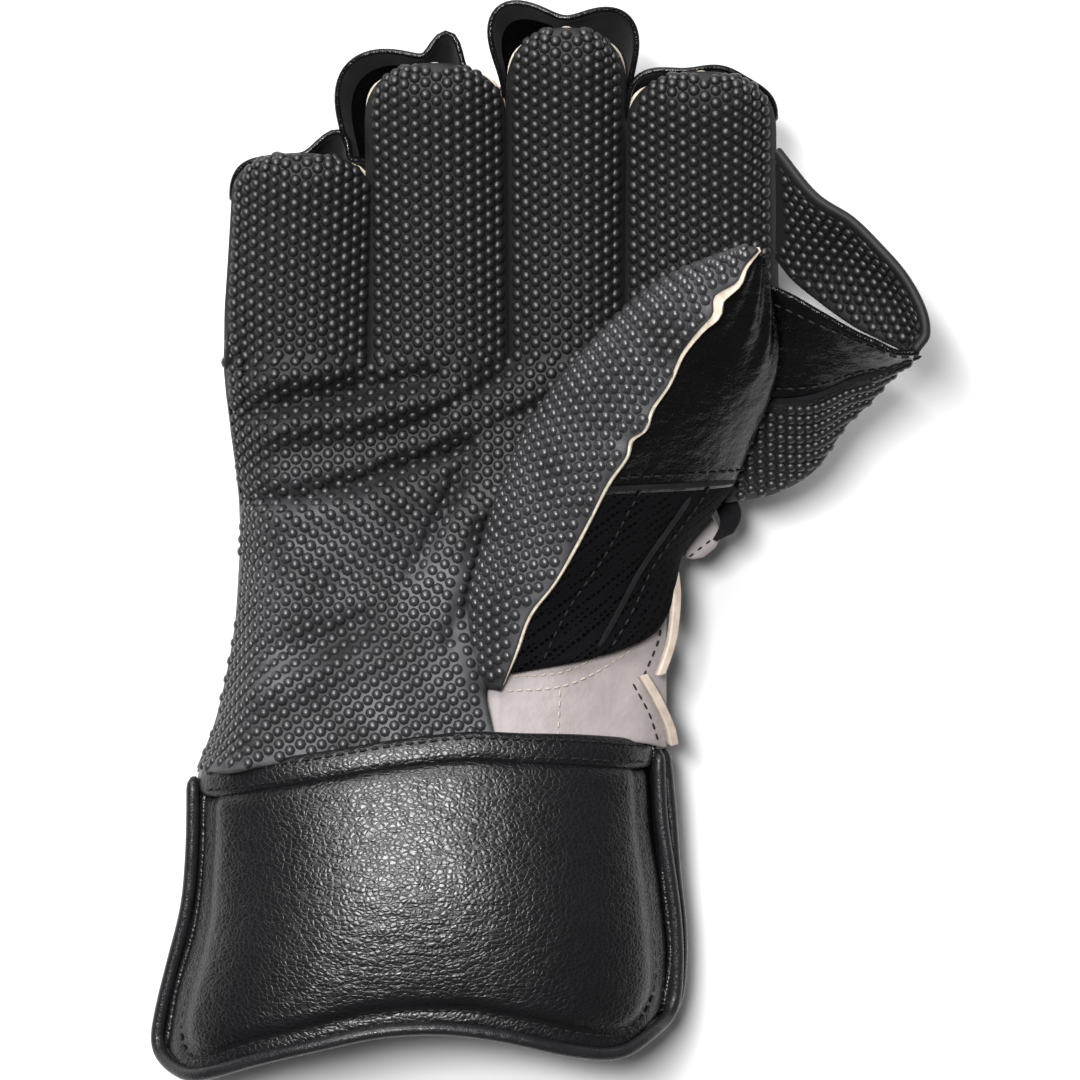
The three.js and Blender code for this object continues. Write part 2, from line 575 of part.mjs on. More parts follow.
// Fingers: a facing, the back of the stall and a cap with pinched ears round the tip.
function fingerShape(finger) {
  const length = FINGER_LENGTH * finger.reach;
  const rootY = WRIST_Y + HAND_LENGTH + GAP;
  const edge = (side, t) => HAND_WIDTH * mix(finger.fork[side], finger.tip[side], t);
  const width = (t) => {
    const late = Math.max(0, (t - TIP_SHARE) / (1 - TIP_SHARE));
    return (1 - Math.min(late, 0.985) ** 2.5) ** 0.42;
  };
  const height = (t) => {
    const rise = mix(t, t * t, CURL_SHARE);
    return PALM_HEIGHT * FORK_FACE + FINGER_LIFT * finger.lift * rise;
  };
  const crown = (t) => FINGER_CROWN * mix(0.75, 1, t);
  const centre = (t) => (edge(0, t) + edge(1, t)) / 2;
  const half = (t) => (edge(1, t) - edge(0, t)) / 2;
  const face = (a, t) => {
    const q = 2 * a - 1;
    const x = centre(t) + half(t) * q * width(t);
    const round = Math.abs(q) ** 2.4;
    const tipDrop = Math.max(0, (t - TIP_SHARE) / (1 - TIP_SHARE)) ** 2.5;
    const drop = crown(t) * Math.max(round, tipDrop * 0.8 + round * 0.2);
    return new THREE.Vector3(x, rootY + length * t, height(t) - drop);
  };
  const rim = (t) => height(t) - crown(t) - RUBBER_WALL * 0.6;
  const depth = (t) => STALL_DEPTH * mix(1, STALL_TIP_DEPTH, t / finger.stall);
  const inset = GAP * 2;
  const below = (a, t) => {
    const q = 1 - 2 * a;
    const bowl = (1 - Math.abs(q) ** STALL_SQUARENESS) ** (1 / STALL_SQUARENESS);
    const x = centre(t) + (half(t) - inset) * q;
    return new THREE.Vector3(x, rootY - GAP * 5 + (length + GAP * 5) * t, rim(t) - depth(t) * bowl);
  };
  const capRun = length * (1 - finger.stall);
  const cap = (a, v) => {
    const angle = mix(90, -90, a);
    const turn = THREE.MathUtils.degToRad(angle);
    const down = (v * Math.PI) / 2;
    let out = 0;
    for (const lobe of finger.lobes) out += FINGER_CROWN * lobe.out * bell(angle - lobe.angle, lobe.spread);
    const spread = Math.cos(down) ** (2 / STALL_SQUARENESS);
    const flare = out * (1 - v) ** 2;
    const x = centre(finger.stall) + ((half(finger.stall) - inset) * spread + flare) * Math.sin(turn);
    const run = (capRun - GAP * 6) * spread + flare;
    const y = rootY + length * finger.stall + GAP + run * Math.cos(turn) ** 0.75;
    const sink = Math.sin(down) ** (2 / STALL_SQUARENESS);
    const top = rim(mix(finger.stall, 1, spread * Math.cos(turn) ** 0.75));
    return new THREE.Vector3(x, y, top - depth(finger.stall) * sink - GAP);
  };
  return { face, below, cap };
}
const stretch = (v) => 1 - (1 - v) ** 1.3;
for (const finger of FINGERS) {
  const shape = fingerShape(finger);
  const face = (a, v) => shape.face(a, stretch(v));
  const below = (a, v) => shape.below(a, v * finger.stall);
  const cap = (a, v) => shape.cap(a, Math.min(v, 0.97));
  lay(`${finger.name}_facing`, RUBBER, (grow) => sheet(face, 8, 9, RUBBER_WALL, grow));
  lay(`${finger.name}_stall_back`, SUEDE, (grow) => sheet(below, 9, 4, LEATHER_WALL, grow));
  lay(`${finger.name}_tip_cap`, LEATHER, (grow) => sheet(cap, 12, 3, LEATHER_WALL, grow));
}

// Web: a pimpled band to the outer fold, and a panel back to the thumb in two parts.
function webFace(table, a, v) {
  return read(table, "lower", a).lerp(read(table, "upper", a), v).multiplyScalar(WEB_REACH);
}
const bandRows = paced(WEB_BAND);
const panelRows = paced(WEB_PANEL);
const bulge = (a, v) => GAP * 8 * Math.sin(Math.PI * a) * Math.sin(Math.PI * v);
const bandOut = new THREE.Vector3(1, 1, -1);
const bandFace = (a, v) => webFace(bandRows, 1 - a, v).addScaledVector(bandOut, bulge(a, v));
const webTop = (a, v) => webFace(panelRows, 1 - a, mix(1 - WEB_SEAM_SHARE, 1, v));
const webLow = (a, v) => webFace(panelRows, 1 - a, mix(0, 1 - WEB_SEAM_SHARE - GAP * 0.02, v));
lay("web_band", RUBBER, (grow) => sheet(bandFace, 10, 3, RUBBER_WALL, grow));
lay("web_panel", LEATHER, (grow) => sheet(webTop, 8, 2, LEATHER_WALL, grow));
lay("web_lower_panel", RUBBER, (grow) => sheet(webLow, 8, 2, LEATHER_WALL, grow));

// Two folded binding strips stand along the gusset's outer edge. Each row is a place on the
// strip's middle line: x in shares of HAND_WIDTH, y of HAND_LENGTH from the wrist, z of PALM_HEIGHT.
const UPPER_BINDING = [
  { place: [0.237, 0.43, 0.84] },
  { place: [0.24, 0.36, 0.85] },
  { place: [0.232, 0.25, 0.87] },
  { place: [0.212, 0.16, 0.92] },
];
const LOWER_BINDING = [
  { place: [0.18, 0.155, 0.94] },
  { place: [0.206, 0.09, 0.885] },
  { place: [0.228, 0.02, 0.81] },
  { place: [0.236, -0.03, 0.76] },
];
function bindingFace(table) {
  const rows = paced(table);
  const half = BINDING_WIDTH / 2;
  return (a, v) => {
    const p = read(rows, "place", v);
    const middle = new THREE.Vector3(p.x * HAND_WIDTH, WRIST_Y + p.y * HAND_LENGTH, p.z * PALM_HEIGHT);
    const side = (2 * a - 1) * half;
    return middle.add(new THREE.Vector3(side * 0.8, side * 0.2, -side * 0.6));
  };
}
lay("upper_binding", CREAM, (grow) => sheet(bindingFace(UPPER_BINDING), 2, 8, BINDING_WALL, grow));
lay("lower_binding", CREAM, (grow) => sheet(bindingFace(LOWER_BINDING), 2, 8, BINDING_WALL, grow));

// The tab of the wrist strap: a white end and a black keeper over it, sewn to the hand back's side.
const TAB_LENGTH = 14;
const TAB_WIDTH = 12.5;
const KEEPER_LENGTH = 5;
const TAB_SHARE = 0.54; // where the tab is sewn on, a share of the hand's length
const tabRoot = new THREE.Vector3(
  HAND_WIDTH * read(HAND, "side", TAB_SHARE) - LEATHER_WALL,
  WRIST_Y + HAND_LENGTH * TAB_SHARE,
  PALM_HEIGHT * 0.5,
);
const tabRise = (share) => TAB_LENGTH * 0.3 * Math.sin(share * Math.PI * 0.6);
const tabFace = (a, v) => {
  const y = TAB_WIDTH * (v - 0.5) * (1 - 0.25 * a ** 3) + 0.2 * TAB_LENGTH * a;
  return new THREE.Vector3(TAB_LENGTH * a, y, tabRise(a)).add(tabRoot);
};
const keeperFace = (a, v) => {
  const share = 1 + ((a - 0.45) * KEEPER_LENGTH) / TAB_LENGTH;
  const lift = LEATHER_WALL + GAP * 2;
  return new THREE.Vector3(TAB_LENGTH * share, TAB_WIDTH * (v - 0.25), tabRise(share) + lift).add(tabRoot);
};
lay("strap_tab", WHITE, (grow) => sheet(tabFace, 5, 4, LEATHER_WALL, grow));
lay("strap_keeper", SUEDE, (grow) => sheet(keeperFace, 3, 4, LEATHER_WALL, grow));

export default glove;
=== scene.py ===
import math

import bpy
import numpy as np
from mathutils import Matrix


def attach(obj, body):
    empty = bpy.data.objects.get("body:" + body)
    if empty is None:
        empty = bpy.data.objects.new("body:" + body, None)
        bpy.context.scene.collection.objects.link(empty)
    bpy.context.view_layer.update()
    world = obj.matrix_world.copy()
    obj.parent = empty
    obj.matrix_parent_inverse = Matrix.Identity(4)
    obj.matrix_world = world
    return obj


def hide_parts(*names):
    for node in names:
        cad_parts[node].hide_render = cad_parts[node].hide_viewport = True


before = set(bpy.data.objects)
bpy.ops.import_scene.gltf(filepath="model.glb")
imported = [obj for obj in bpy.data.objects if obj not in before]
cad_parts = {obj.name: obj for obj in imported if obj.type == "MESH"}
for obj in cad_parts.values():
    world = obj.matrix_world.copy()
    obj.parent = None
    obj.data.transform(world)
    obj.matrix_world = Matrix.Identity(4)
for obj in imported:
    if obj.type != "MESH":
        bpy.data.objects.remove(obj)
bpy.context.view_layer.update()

# Cuff panels
# Two panels of grained black leather over foam: the front one arches over the wrist and the
# back one lies under it. Each is sewn down a few millimetres inside its edge, and the front
# one hangs from a plain yoke that is sewn to the palm.
# All sizes are in metres, with X to the thumb's side, Y to the fingertips and Z up.
WRIST_Y = -0.052
CUFF_WIDTH = 0.145
CUFF_LENGTH = 0.084
CUFF_HEIGHT = 0.060
YOKE_WIDTH = 0.008
CUFF_BACK_REACH = 0.0026
BACK_FLAT = 0.0016
CUFF_EDGE_WALL = 0.003
CUFF_PADDING = 0.006
LEATHER_WALL = 0.0016
GAP = 0.0003
SEAM_INSET = 0.0036  # from a cuff panel's edge to the stitches that hold its foam
SEAM_DEPTH = 0.0016  # how deep those stitches pull the leather
CUFF_SWELL = 0.0045  # the most that the foam may push the leather out
FOAM_PRESSURE = 2.5
CLOTH_STEPS = 14
CUFF_ENDS = {
    "at": [0, 0.06, 0.18, 0.3, 0.43, 0.6, 0.72, 0.83, 0.92, 1],
    "top": [-0.119, -0.104, -0.075, -0.047, -0.015, 0.012, 0.006, 0, -0.012, -0.03],
    "mouth": [-1.01, -1.072, -1.014, -0.962, -0.912, -0.903, -0.942, -0.985, -0.99, -0.89],
}
CUFF_SIDES = {
    "at": [0, 0.3, 0.55, 0.8, 1],
    "left": [-0.64, -0.642, -0.656, -0.692, -0.71],
    "right": [0.212, 0.219, 0.237, 0.249, 0.241],
    "side": [0.47, 0.47, 0.46, 0.45, 0.45],
    "crown": [0.88, 0.95, 1.0, 1.0, 0.97],
    "beyond": [0.6, 1.0, 0.5, 0.5, 0.2],
}
GRAINED_BLACK = (0.0045, 0.0044, 0.0054, 1)


def mix(low, high, share):
    return low + (high - low) * share


def smooth(share):
    """0 to 1 with a soft start and end."""
    share = np.clip(share, 0, 1)
    return share * share * (3 - 2 * share)


def read(table, column, at):
    """A smooth value between the rows of a table, for one of its columns."""
    marks = np.asarray(table["at"], float)
    values = np.asarray(table[column], float)
    at = np.clip(np.asarray(at, float), marks[0], marks[-1])
    k = np.clip(np.searchsorted(marks, at) - 1, 0, len(marks) - 2)
    before = np.maximum(k - 1, 0)
    after = np.minimum(k + 2, len(marks) - 1)
    run = marks[k + 1] - marks[k]
    s = (at - marks[k]) / run
    slope_in = run / (marks[k + 1] - marks[before])
    slope_out = run / (marks[after] - marks[k])
    if values.ndim > 1:
        s, slope_in, slope_out = s[..., None], slope_in[..., None], slope_out[..., None]
    rise_in = (values[k + 1] - values[before]) * slope_in
    rise_out = (values[after] - values[k]) * slope_out
    return (
        values[k] * (1 + 2 * s) * (1 - s) ** 2
        + rise_in * s * (1 - s) ** 2
        + values[k + 1] * s * s * (3 - 2 * s)
        + rise_out * s * s * (s - 1)
    )


def places(x, y, z):
    return np.stack(np.broadcast_arrays(x, y, z), axis=-1)


def shares(columns, rows):
    """Shares across and along, for the corners of a grid."""
    return np.meshgrid(np.linspace(0, 1, columns + 1), np.linspace(0, 1, rows + 1))


def grid_quads(columns, rows):
    """Corner numbers of a grid's quads, which face (change across) x (change along)."""
    corner = (np.arange(rows)[:, None] * (columns + 1) + np.arange(columns)).ravel()
    return np.stack([corner, corner + 1, corner + columns + 2, corner + columns + 1], axis=1)


def facing(corners, quads):
    """The way that a sheet faces at each of its corners."""
    diagonal = corners[quads[:, 2]] - corners[quads[:, 0]]
    other = corners[quads[:, 3]] - corners[quads[:, 1]]
    way = np.cross(diagonal, other)
    total = np.zeros_like(corners)
    for k in range(4):
        np.add.at(total, quads[:, k], way)
    return total / (np.linalg.norm(total, axis=1, keepdims=True) + 1e-15)


def grid_way(grid):
    """The way that a grid of places faces at each of them."""
    return facing(grid.reshape(-1, 3), grid_quads(grid.shape[1] - 1, grid.shape[0] - 1)).reshape(grid.shape)


ROUND_EDGE = [(0.0, 0.0), (0.2, 0.24), (0.5, 0.36), (0.8, 0.24), (1.0, 0.0)]
OUTER, INNER, EDGE = 0, 1, 2


def thick_sheet(corners, quads, wall, edge=ROUND_EDGE, lip=0.0):
    """A closed sheet: its outer face, the inner face a wall behind it and a shaped edge.

    Each step of the edge is (share of the wall, how far out in shares of the wall). A lip adds
    to how far the inner half of the edge stands out. Gives corners, faces and kinds of face.
    """
    count = len(corners)
    way = facing(corners, quads)
    wall = np.broadcast_to(np.asarray(wall, float), count)
    lip = np.broadcast_to(np.asarray(lip, float), count)
    sides = np.concatenate([quads[:, [k, (k + 1) % 4]] for k in range(4)])
    forward = sides[:, 0] * count + sides[:, 1]
    backward = sides[:, 1] * count + sides[:, 0]
    rim = sides[~np.isin(forward, backward)]
    run = corners[rim[:, 1]] - corners[rim[:, 0]]
    aside = np.cross(run, way[rim[:, 0]])
    out = np.zeros_like(corners)
    np.add.at(out, rim[:, 0], aside)
    np.add.at(out, rim[:, 1], aside)
    on_rim = np.unique(rim)
    out = out / (np.linalg.norm(out, axis=1, keepdims=True) + 1e-15)
    layers = [corners, corners - way * wall[:, None]]
    number = np.full(count, -1)
    number[on_rim] = np.arange(len(on_rim))
    rings = [rim]
    for k, (depth, reach) in enumerate(edge[1:-1]):
        push = wall * reach + (lip if depth > 0.5 else 0)
        ring = corners - way * (wall * depth)[:, None] + out * push[:, None]
        layers.append(ring[on_rim])
        rings.append(2 * count + k * len(on_rim) + number[rim])
    rings.append(rim + count)
    faces = [quads, quads[:, ::-1] + count]
    kinds = [np.full(len(quads), OUTER), np.full(len(quads), INNER)]
    for k in range(len(rings) - 1):
        upper, lower = rings[k], rings[k + 1]
        faces.append(np.stack([upper[:, 1], upper[:, 0], lower[:, 0], lower[:, 1]], axis=1))
        bare = (lip[rim[:, 0]] > 0) & (edge[k + 1][0] > 0.5)
        kinds.append(np.where(bare, EDGE + 1, EDGE))
    return np.concatenate(layers), np.concatenate(faces), np.concatenate(kinds)


def plain_object(name, corners, edges, faces):
    """An object in the scene from lists of corners, edges and faces."""
    mesh = bpy.data.meshes.new(name)
    mesh.from_pydata(corners, edges, faces)
    made = bpy.data.objects.new(name, mesh)
    bpy.context.scene.collection.objects.link(made)
    return made


def make_piece(name, corners, faces, finishes, kinds=None, crease=60):
    """A smooth shaded object from corners and faces. Each kind of face has its own finish."""
    piece = plain_object(name, np.asarray(corners).tolist(), [], np.asarray(faces).tolist())
    mesh = piece.data
    for finish in finishes:
        mesh.materials.append(finish)
    if kinds is not None:
        kinds = np.minimum(kinds, len(finishes) - 1).astype(np.int32)
        mesh.polygons.foreach_set("material_index", kinds)
    mesh.polygons.foreach_set("use_smooth", np.ones(len(mesh.polygons), bool))
    mesh.set_sharp_from_angle(angle=math.radians(crease))
    mesh.update()
    return piece


def lay(piece, slot, *nodes):
    """The piece rides on the glove and stands for its solids, which are hidden. Its slot is not used."""
    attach(piece, "root")
    if nodes:
        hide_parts(*nodes)


def cuff_top(a):
    """The wrist seam in Y, from the little finger's side (0) to the thumb's (1)."""
    return WRIST_Y + CUFF_LENGTH * read(CUFF_ENDS, "top", a)


def cuff_mouth(a):
    return WRIST_Y + CUFF_LENGTH * read(CUFF_ENDS, "mouth", a)


def cuff_face(a, v):
    """Outer face of the front panel, v from the wrist to the mouth."""
    x = CUFF_WIDTH * mix(read(CUFF_SIDES, "left", v), read(CUFF_SIDES, "right", v), a)
    side = CUFF_HEIGHT * read(CUFF_SIDES, "side", v)
    crown = CUFF_HEIGHT * read(CUFF_SIDES, "crown", v)
    arch = (1 - np.abs(2 * a - 1) ** 2.6) ** 0.62
    return places(x, mix(cuff_top(a), cuff_mouth(a), v), mix(side, crown, arch))


def cuff_underside(a, v):
    """Outer face of the back panel, which the glove lies on; a runs from the thumb's side."""
    front = cuff_face(1 - a, v)
    q = np.abs(1 - 2 * a)
    x = front[..., 0] + CUFF_BACK_REACH * read(CUFF_SIDES, "beyond", v) * (1 - a) ** 3
    side = CUFF_HEIGHT * read(CUFF_SIDES, "side", v) - GAP
    z = np.maximum(0, side * (1 - (1 - q**3) ** (1 / 3)) - BACK_FLAT * (1 - q**3))
    return places(x, mix(cuff_top(1 - a), cuff_mouth(1 - a), v), z)


def shader_group(name, inputs, outputs):
    """An empty shader node group with named sockets, and its two end nodes."""
    tree = bpy.data.node_groups.new(name, "ShaderNodeTree")
    for label, kind, value in inputs:
        socket = tree.interface.new_socket(name=label, in_out="INPUT", socket_type=kind)
        if value is not None:
            socket.default_value = value
    for label, kind in outputs:
        tree.interface.new_socket(name=label, in_out="OUTPUT", socket_type=kind)
    return tree, tree.nodes.new("NodeGroupInput"), tree.nodes.new("NodeGroupOutput")


def node(tree, kind, sockets=None, **settings):
    """A node with its settings, and with numbers or other nodes' outputs on its sockets."""
    made = tree.nodes.new(kind)
    for key, value in settings.items():
        setattr(made, key, value)
    for key, value in (sockets or {}).items():
        if isinstance(value, bpy.types.NodeSocket):
            tree.links.new(value, made.inputs[key])
        else:
            made.inputs[key].default_value = value
    return made


def reckon(tree, kind, first, second):
    """The outcome of a sum on two numbers or sockets."""
    return node(tree, "ShaderNodeMath", {0: first, 1: second}, operation=kind).outputs[0]


def ramp(tree, value, low, high, kind="LINEAR"):
    """0 to 1 as a value goes from low to high."""
    sockets = {"Value": value, "From Min": low, "From Max": high}
    return node(tree, "ShaderNodeMapRange", sockets, interpolation_type=kind).outputs["Result"]


def noise(tree, place, scale, detail):
    """A noise texture node at a place."""
    return node(tree, "ShaderNodeTexNoise", {"Vector": place, "Scale": scale, "Detail": detail})


VECTOR, NUMBER = "NodeSocketVector", "NodeSocketFloat"

# The pebbled grain of leather: rounded cells with creases between them, drawn out of true by
# noise. Height is 0 in a crease and 1 on a pebble.
grain_group, grain_in, grain_out = shader_group(
    "Leather grain",
    [("Place", VECTOR, None), ("Cell", NUMBER, 0.0013), ("Drift", NUMBER, 0.6), ("Crease", NUMBER, 0.16)],
    [("Height", NUMBER)],
)
density = reckon(grain_group, "DIVIDE", 1.0, grain_in.outputs["Cell"])
drift_scale = reckon(grain_group, "MULTIPLY", density, 0.45)
drifting = noise(grain_group, grain_in.outputs["Place"], drift_scale, 2.0).outputs["Color"]
centred = node(grain_group, "ShaderNodeVectorMath", {0: drifting, 1: (0.5, 0.5, 0.5)}, operation="SUBTRACT")
reach = reckon(grain_group, "MULTIPLY", grain_in.outputs["Cell"], grain_in.outputs["Drift"])
reach = reckon(grain_group, "MULTIPLY", reach, 3.0)
shift = node(grain_group, "ShaderNodeVectorMath", {0: centred.outputs[0]}, operation="SCALE")
grain_group.links.new(reach, shift.inputs["Scale"])
place_and_shift = {0: grain_in.outputs["Place"], 1: shift.outputs[0]}
moved = node(grain_group, "ShaderNodeVectorMath", place_and_shift, operation="ADD")
pebbles = node(
    grain_group,
    "ShaderNodeTexVoronoi",
    {"Vector": moved.outputs[0], "Scale": density},
    feature="DISTANCE_TO_EDGE",
)
plateau = ramp(grain_group, pebbles.outputs["Distance"], 0.0, grain_in.outputs["Crease"], "SMOOTHSTEP")
pore_scale = reckon(grain_group, "MULTIPLY", density, 3.0)
pores = noise(grain_group, grain_in.outputs["Place"], pore_scale, 3.0).outputs["Fac"]
grain_height = reckon(grain_group, "ADD", plateau, reckon(grain_group, "MULTIPLY", pores, 0.3))
grain_group.links.new(grain_height, grain_out.inputs["Height"])

# Handling marks: broad patches where leather and rubber have been rubbed smoother or duller.
wear_group, wear_in, wear_out = shader_group(
    "Handling", [("Place", VECTOR, None), ("Size", NUMBER, 0.02)], [("Patches", NUMBER)]
)
patch_density = reckon(wear_group, "DIVIDE", 1.0, wear_in.outputs["Size"])
patches = noise(wear_group, wear_in.outputs["Place"], patch_density, 4.0).outputs["Fac"]
wear_group.links.new(ramp(wear_group, patches, 0.35, 0.65), wear_out.inputs["Patches"])


class Finish:
    """A material under way: its tree, its Principled shader and the object's coordinates."""

    def __init__(self, name, roughness, specular=0.5):
        self.material = bpy.data.materials.new(name)
        self.material.use_nodes = True
        self.tree = self.material.node_tree
        self.shader = self.tree.nodes["Principled BSDF"]
        self.shader.inputs["Roughness"].default_value = roughness
        self.shader.inputs["Specular IOR Level"].default_value = specular
        self.place = self.tree.nodes.new("ShaderNodeTexCoord").outputs["Object"]

    def stretched(self, scale, turn=0.0):
        """The object's coordinates, scaled along each axis and turned about Z."""
        mapping = node(self.tree, "ShaderNodeMapping", {"Vector": self.place, "Scale": scale})
        mapping.inputs["Rotation"].default_value = (0, 0, turn)
        return mapping.outputs["Vector"]

    def grain(self, cell, drift, crease, place=None):
        group = node(self.tree, "ShaderNodeGroup", node_tree=grain_group)
        self.tree.links.new(place or self.place, group.inputs["Place"])
        for key, value in (("Cell", cell), ("Drift", drift), ("Crease", crease)):
            group.inputs[key].default_value = value
        return group.outputs["Height"]

    def handling(self, size):
        group = node(self.tree, "ShaderNodeGroup", {"Place": self.place}, node_tree=wear_group)
        group.inputs["Size"].default_value = size
        return group.outputs

    def noise(self, size, detail=3.0, place=None):
        return noise(self.tree, place or self.place, 1 / size, detail).outputs["Fac"]

    def times(self, first, second):
        return reckon(self.tree, "MULTIPLY", first, second)

    def plus(self, first, second):
        return reckon(self.tree, "ADD", first, second)

    def between(self, share, low, high):
        """low to high as share goes from 0 to 1."""
        return self.plus(self.times(share, high - low), low)

    def colour(self, share, low, high):
        """The base colour, from low to high as share goes from 0 to 1."""
        blend = node(self.tree, "ShaderNodeMix", data_type="RGBA")
        self.tree.links.new(share, blend.inputs["Factor"])
        for key, value in (("A", low), ("B", high)):
            socket = next(one for one in blend.inputs if one.name == key and one.type == "RGBA")
            socket.default_value = value
        blended = next(one for one in blend.outputs if one.type == "RGBA")
        self.tree.links.new(blended, self.shader.inputs["Base Color"])

    def rough(self, height):
        self.tree.links.new(height, self.shader.inputs["Roughness"])

    def bump(self, height):
        """Relief from a height in metres."""
        relief = node(self.tree, "ShaderNodeBump", {"Height": height, "Strength": 1.0, "Distance": 1.0})
        self.tree.links.new(relief.outputs["Normal"], self.shader.inputs["Normal"])


def grained_leather():
    finish = Finish("Grained black leather", 0.33, 0.47)
    marks = finish.handling(0.03)
    finish.colour(marks["Patches"], GRAINED_BLACK, (0.007, 0.0067, 0.0078, 1))
    drawn = finish.stretched((0.85, 1.15, 1.0))
    pebble = finish.grain(0.0014, 0.24, 0.13, drawn)
    rounding = finish.grain(0.0014, 0.24, 0.5, drawn)
    crease = finish.noise(0.0036, 3.0, finish.stretched((0.3, 1.3, 1.0), 0.06))
    crease_line = ramp(finish.tree, crease, 0.46, 0.58, "SMOOTHSTEP")
    height = finish.plus(finish.times(pebble, 0.00003), finish.times(crease_line, 0.00006))
    height = finish.plus(height, finish.times(rounding, 0.00005))
    finish.bump(finish.plus(height, finish.times(finish.noise(0.006), 0.00022)))
    finish.rough(finish.between(pebble, 0.42, 0.3))
    return finish.material


cuff_leather = grained_leather()
CUFF_COLUMNS, CUFF_ROWS = 96, 56
yoke_end = YOKE_WIDTH / CUFF_LENGTH


def edge_distance(a, v):
    """How far a place on a cuff panel is from its sides and mouth, round at the corners."""
    to_side = np.minimum(a, 1 - a) * CUFF_WIDTH
    to_mouth = (1 - v) * CUFF_LENGTH
    soft = 0.008
    blend = np.clip(0.5 + (to_side - to_mouth) / (2 * soft), 0, 1)
    return mix(to_side, to_mouth, blend) - soft * blend * (1 - blend)


def sewn_down(a, v):
    """How much lower the leather lies where it is sewn, and the groove of the stitches."""
    away = edge_distance(a, v)
    flange = 1 - smooth((away - SEAM_INSET) / 0.005)
    groove = np.exp(-(((away - SEAM_INSET) / 0.0008) ** 2))
    top = np.exp(-(((v - yoke_end) * CUFF_LENGTH / 0.0016) ** 2))
    return SEAM_DEPTH * (flange + 0.45 * groove + 0.6 * top)


def padded_panel(name, face, inward):
    """A cuff panel with leather on both faces of its foam, and the corners that may swell."""
    a, v = shares(CUFF_COLUMNS, CUFF_ROWS)
    v = 1 - v
    if not inward:
        v = mix(yoke_end, 1, v)
    outer = face(a, v)
    quads = grid_quads(CUFF_COLUMNS, CUFF_ROWS)
    flat = outer.reshape(-1, 3)
    way = facing(flat, quads)
    drop = sewn_down(a, v).ravel() * (0.35 if inward else 1.0)
    flat = flat - way * drop[:, None]
    if inward:
        flat[:, 2] = np.maximum(flat[:, 2], 0)
    over = np.sin(np.pi * np.clip(a, 0, 1)) ** 0.6
    down = np.sin(np.pi * np.clip(v, 0, 1)) ** 0.5
    wall = (CUFF_EDGE_WALL + CUFF_PADDING * over * down).ravel() - drop
    corners, faces, kinds = thick_sheet(flat, quads, wall)
    panel = make_piece(name, corners, faces, [cuff_leather], kinds)
    free = (edge_distance(a, v) > SEAM_INSET * 1.15) & (np.abs(v - yoke_end) * CUFF_LENGTH > 0.003)
    return panel, np.flatnonzero(free.ravel() & (flat[:, 2] > 0.0005))


def swell(panel, free, pressure, cap):
    """Cloth pressure pushes the free part of a panel's outer leather out, up to cap metres."""
    mesh = panel.data
    count = len(mesh.vertices)
    start = np.empty(count * 3)
    mesh.vertices.foreach_get("co", start)
    held = panel.vertex_groups.new(name="sewn")
    is_free = np.zeros(count, bool)
    is_free[free] = True
    held.add(np.flatnonzero(~is_free).tolist(), 1.0, "REPLACE")
    cloth = panel.modifiers.new("cloth", "CLOTH")
    cloth.settings.quality = 5
    cloth.settings.mass = 0.4
    cloth.settings.tension_stiffness = 12
    cloth.settings.compression_stiffness = 12
    cloth.settings.shear_stiffness = 6
    cloth.settings.bending_stiffness = 0.6
    cloth.settings.use_pressure = True
    cloth.settings.uniform_pressure_force = pressure
    cloth.settings.vertex_group_mass = "sewn"
    cloth.settings.effector_weights.gravity = 0
    cloth.collision_settings.use_collision = False
    cloth.collision_settings.use_self_collision = False
    scene = bpy.context.scene
    for step in range(1, CLOTH_STEPS + 1):
        scene.frame_set(step)
    shaped = panel.evaluated_get(bpy.context.evaluated_depsgraph_get())
    end = np.empty(count * 3)
    shaped.data.vertices.foreach_get("co", end)
    move = (end - start).reshape(-1, 3)
    length = np.linalg.norm(move, axis=1, keepdims=True)
    move *= np.minimum(1, cap / np.maximum(length, 1e-9))
    panel.modifiers.remove(cloth)
    panel.vertex_groups.remove(held)
    mesh.vertices.foreach_set("co", start + move.ravel())
    mesh.update()
    scene.frame_set(1)


front_panel, front_free = padded_panel("cuff_front_panel", cuff_face, False)
back_panel = padded_panel("cuff_back_panel", cuff_underside, True)[0]
# Only the front panel swells: the back one is pressed flat under the glove.
swell(front_panel, front_free, FOAM_PRESSURE, CUFF_SWELL)
lay(front_panel, "grained_leather", "cuff_front")
lay(back_panel, "grained_leather", "cuff_back")

# Yoke
# A plain band of the cuff's leather between the palm and the padded front panel. Its upper
# edge is folded under the palm rubber and its lower edge is sewn over the panel.
yoke_a, yoke_v = shares(96, 8)
yoke_v = 1 - yoke_v
yoke_outer = cuff_face(yoke_a, mix(0, yoke_end - GAP / CUFF_LENGTH, yoke_v)).reshape(-1, 3)
yoke_quads = grid_quads(96, 8)
yoke_round = -0.0009 * (1 - np.sin(np.pi * np.clip(yoke_v, 0.02, 0.98)) ** 0.5).ravel()
yoke_outer = yoke_outer + facing(yoke_outer, yoke_quads) * yoke_round[:, None]
yoke_parts = thick_sheet(yoke_outer, yoke_quads, CUFF_EDGE_WALL)
yoke = make_piece("cuff_yoke_band", *yoke_parts[:2], [cuff_leather])
lay(yoke, "grained_leather", "cuff_yoke")

# Pipings
# Soft leather rolled round a cord and sewn into the edge of each cuff panel, down both sides
# and round the mouth.
PIPING_RADIUS = 0.0018
PIPING_END_SHARE = 0.03


def run_along(line):
    """How far along a line of places each of them is."""
    return np.concatenate([[0], np.cumsum(np.linalg.norm(np.diff(line, axis=0), axis=1))])


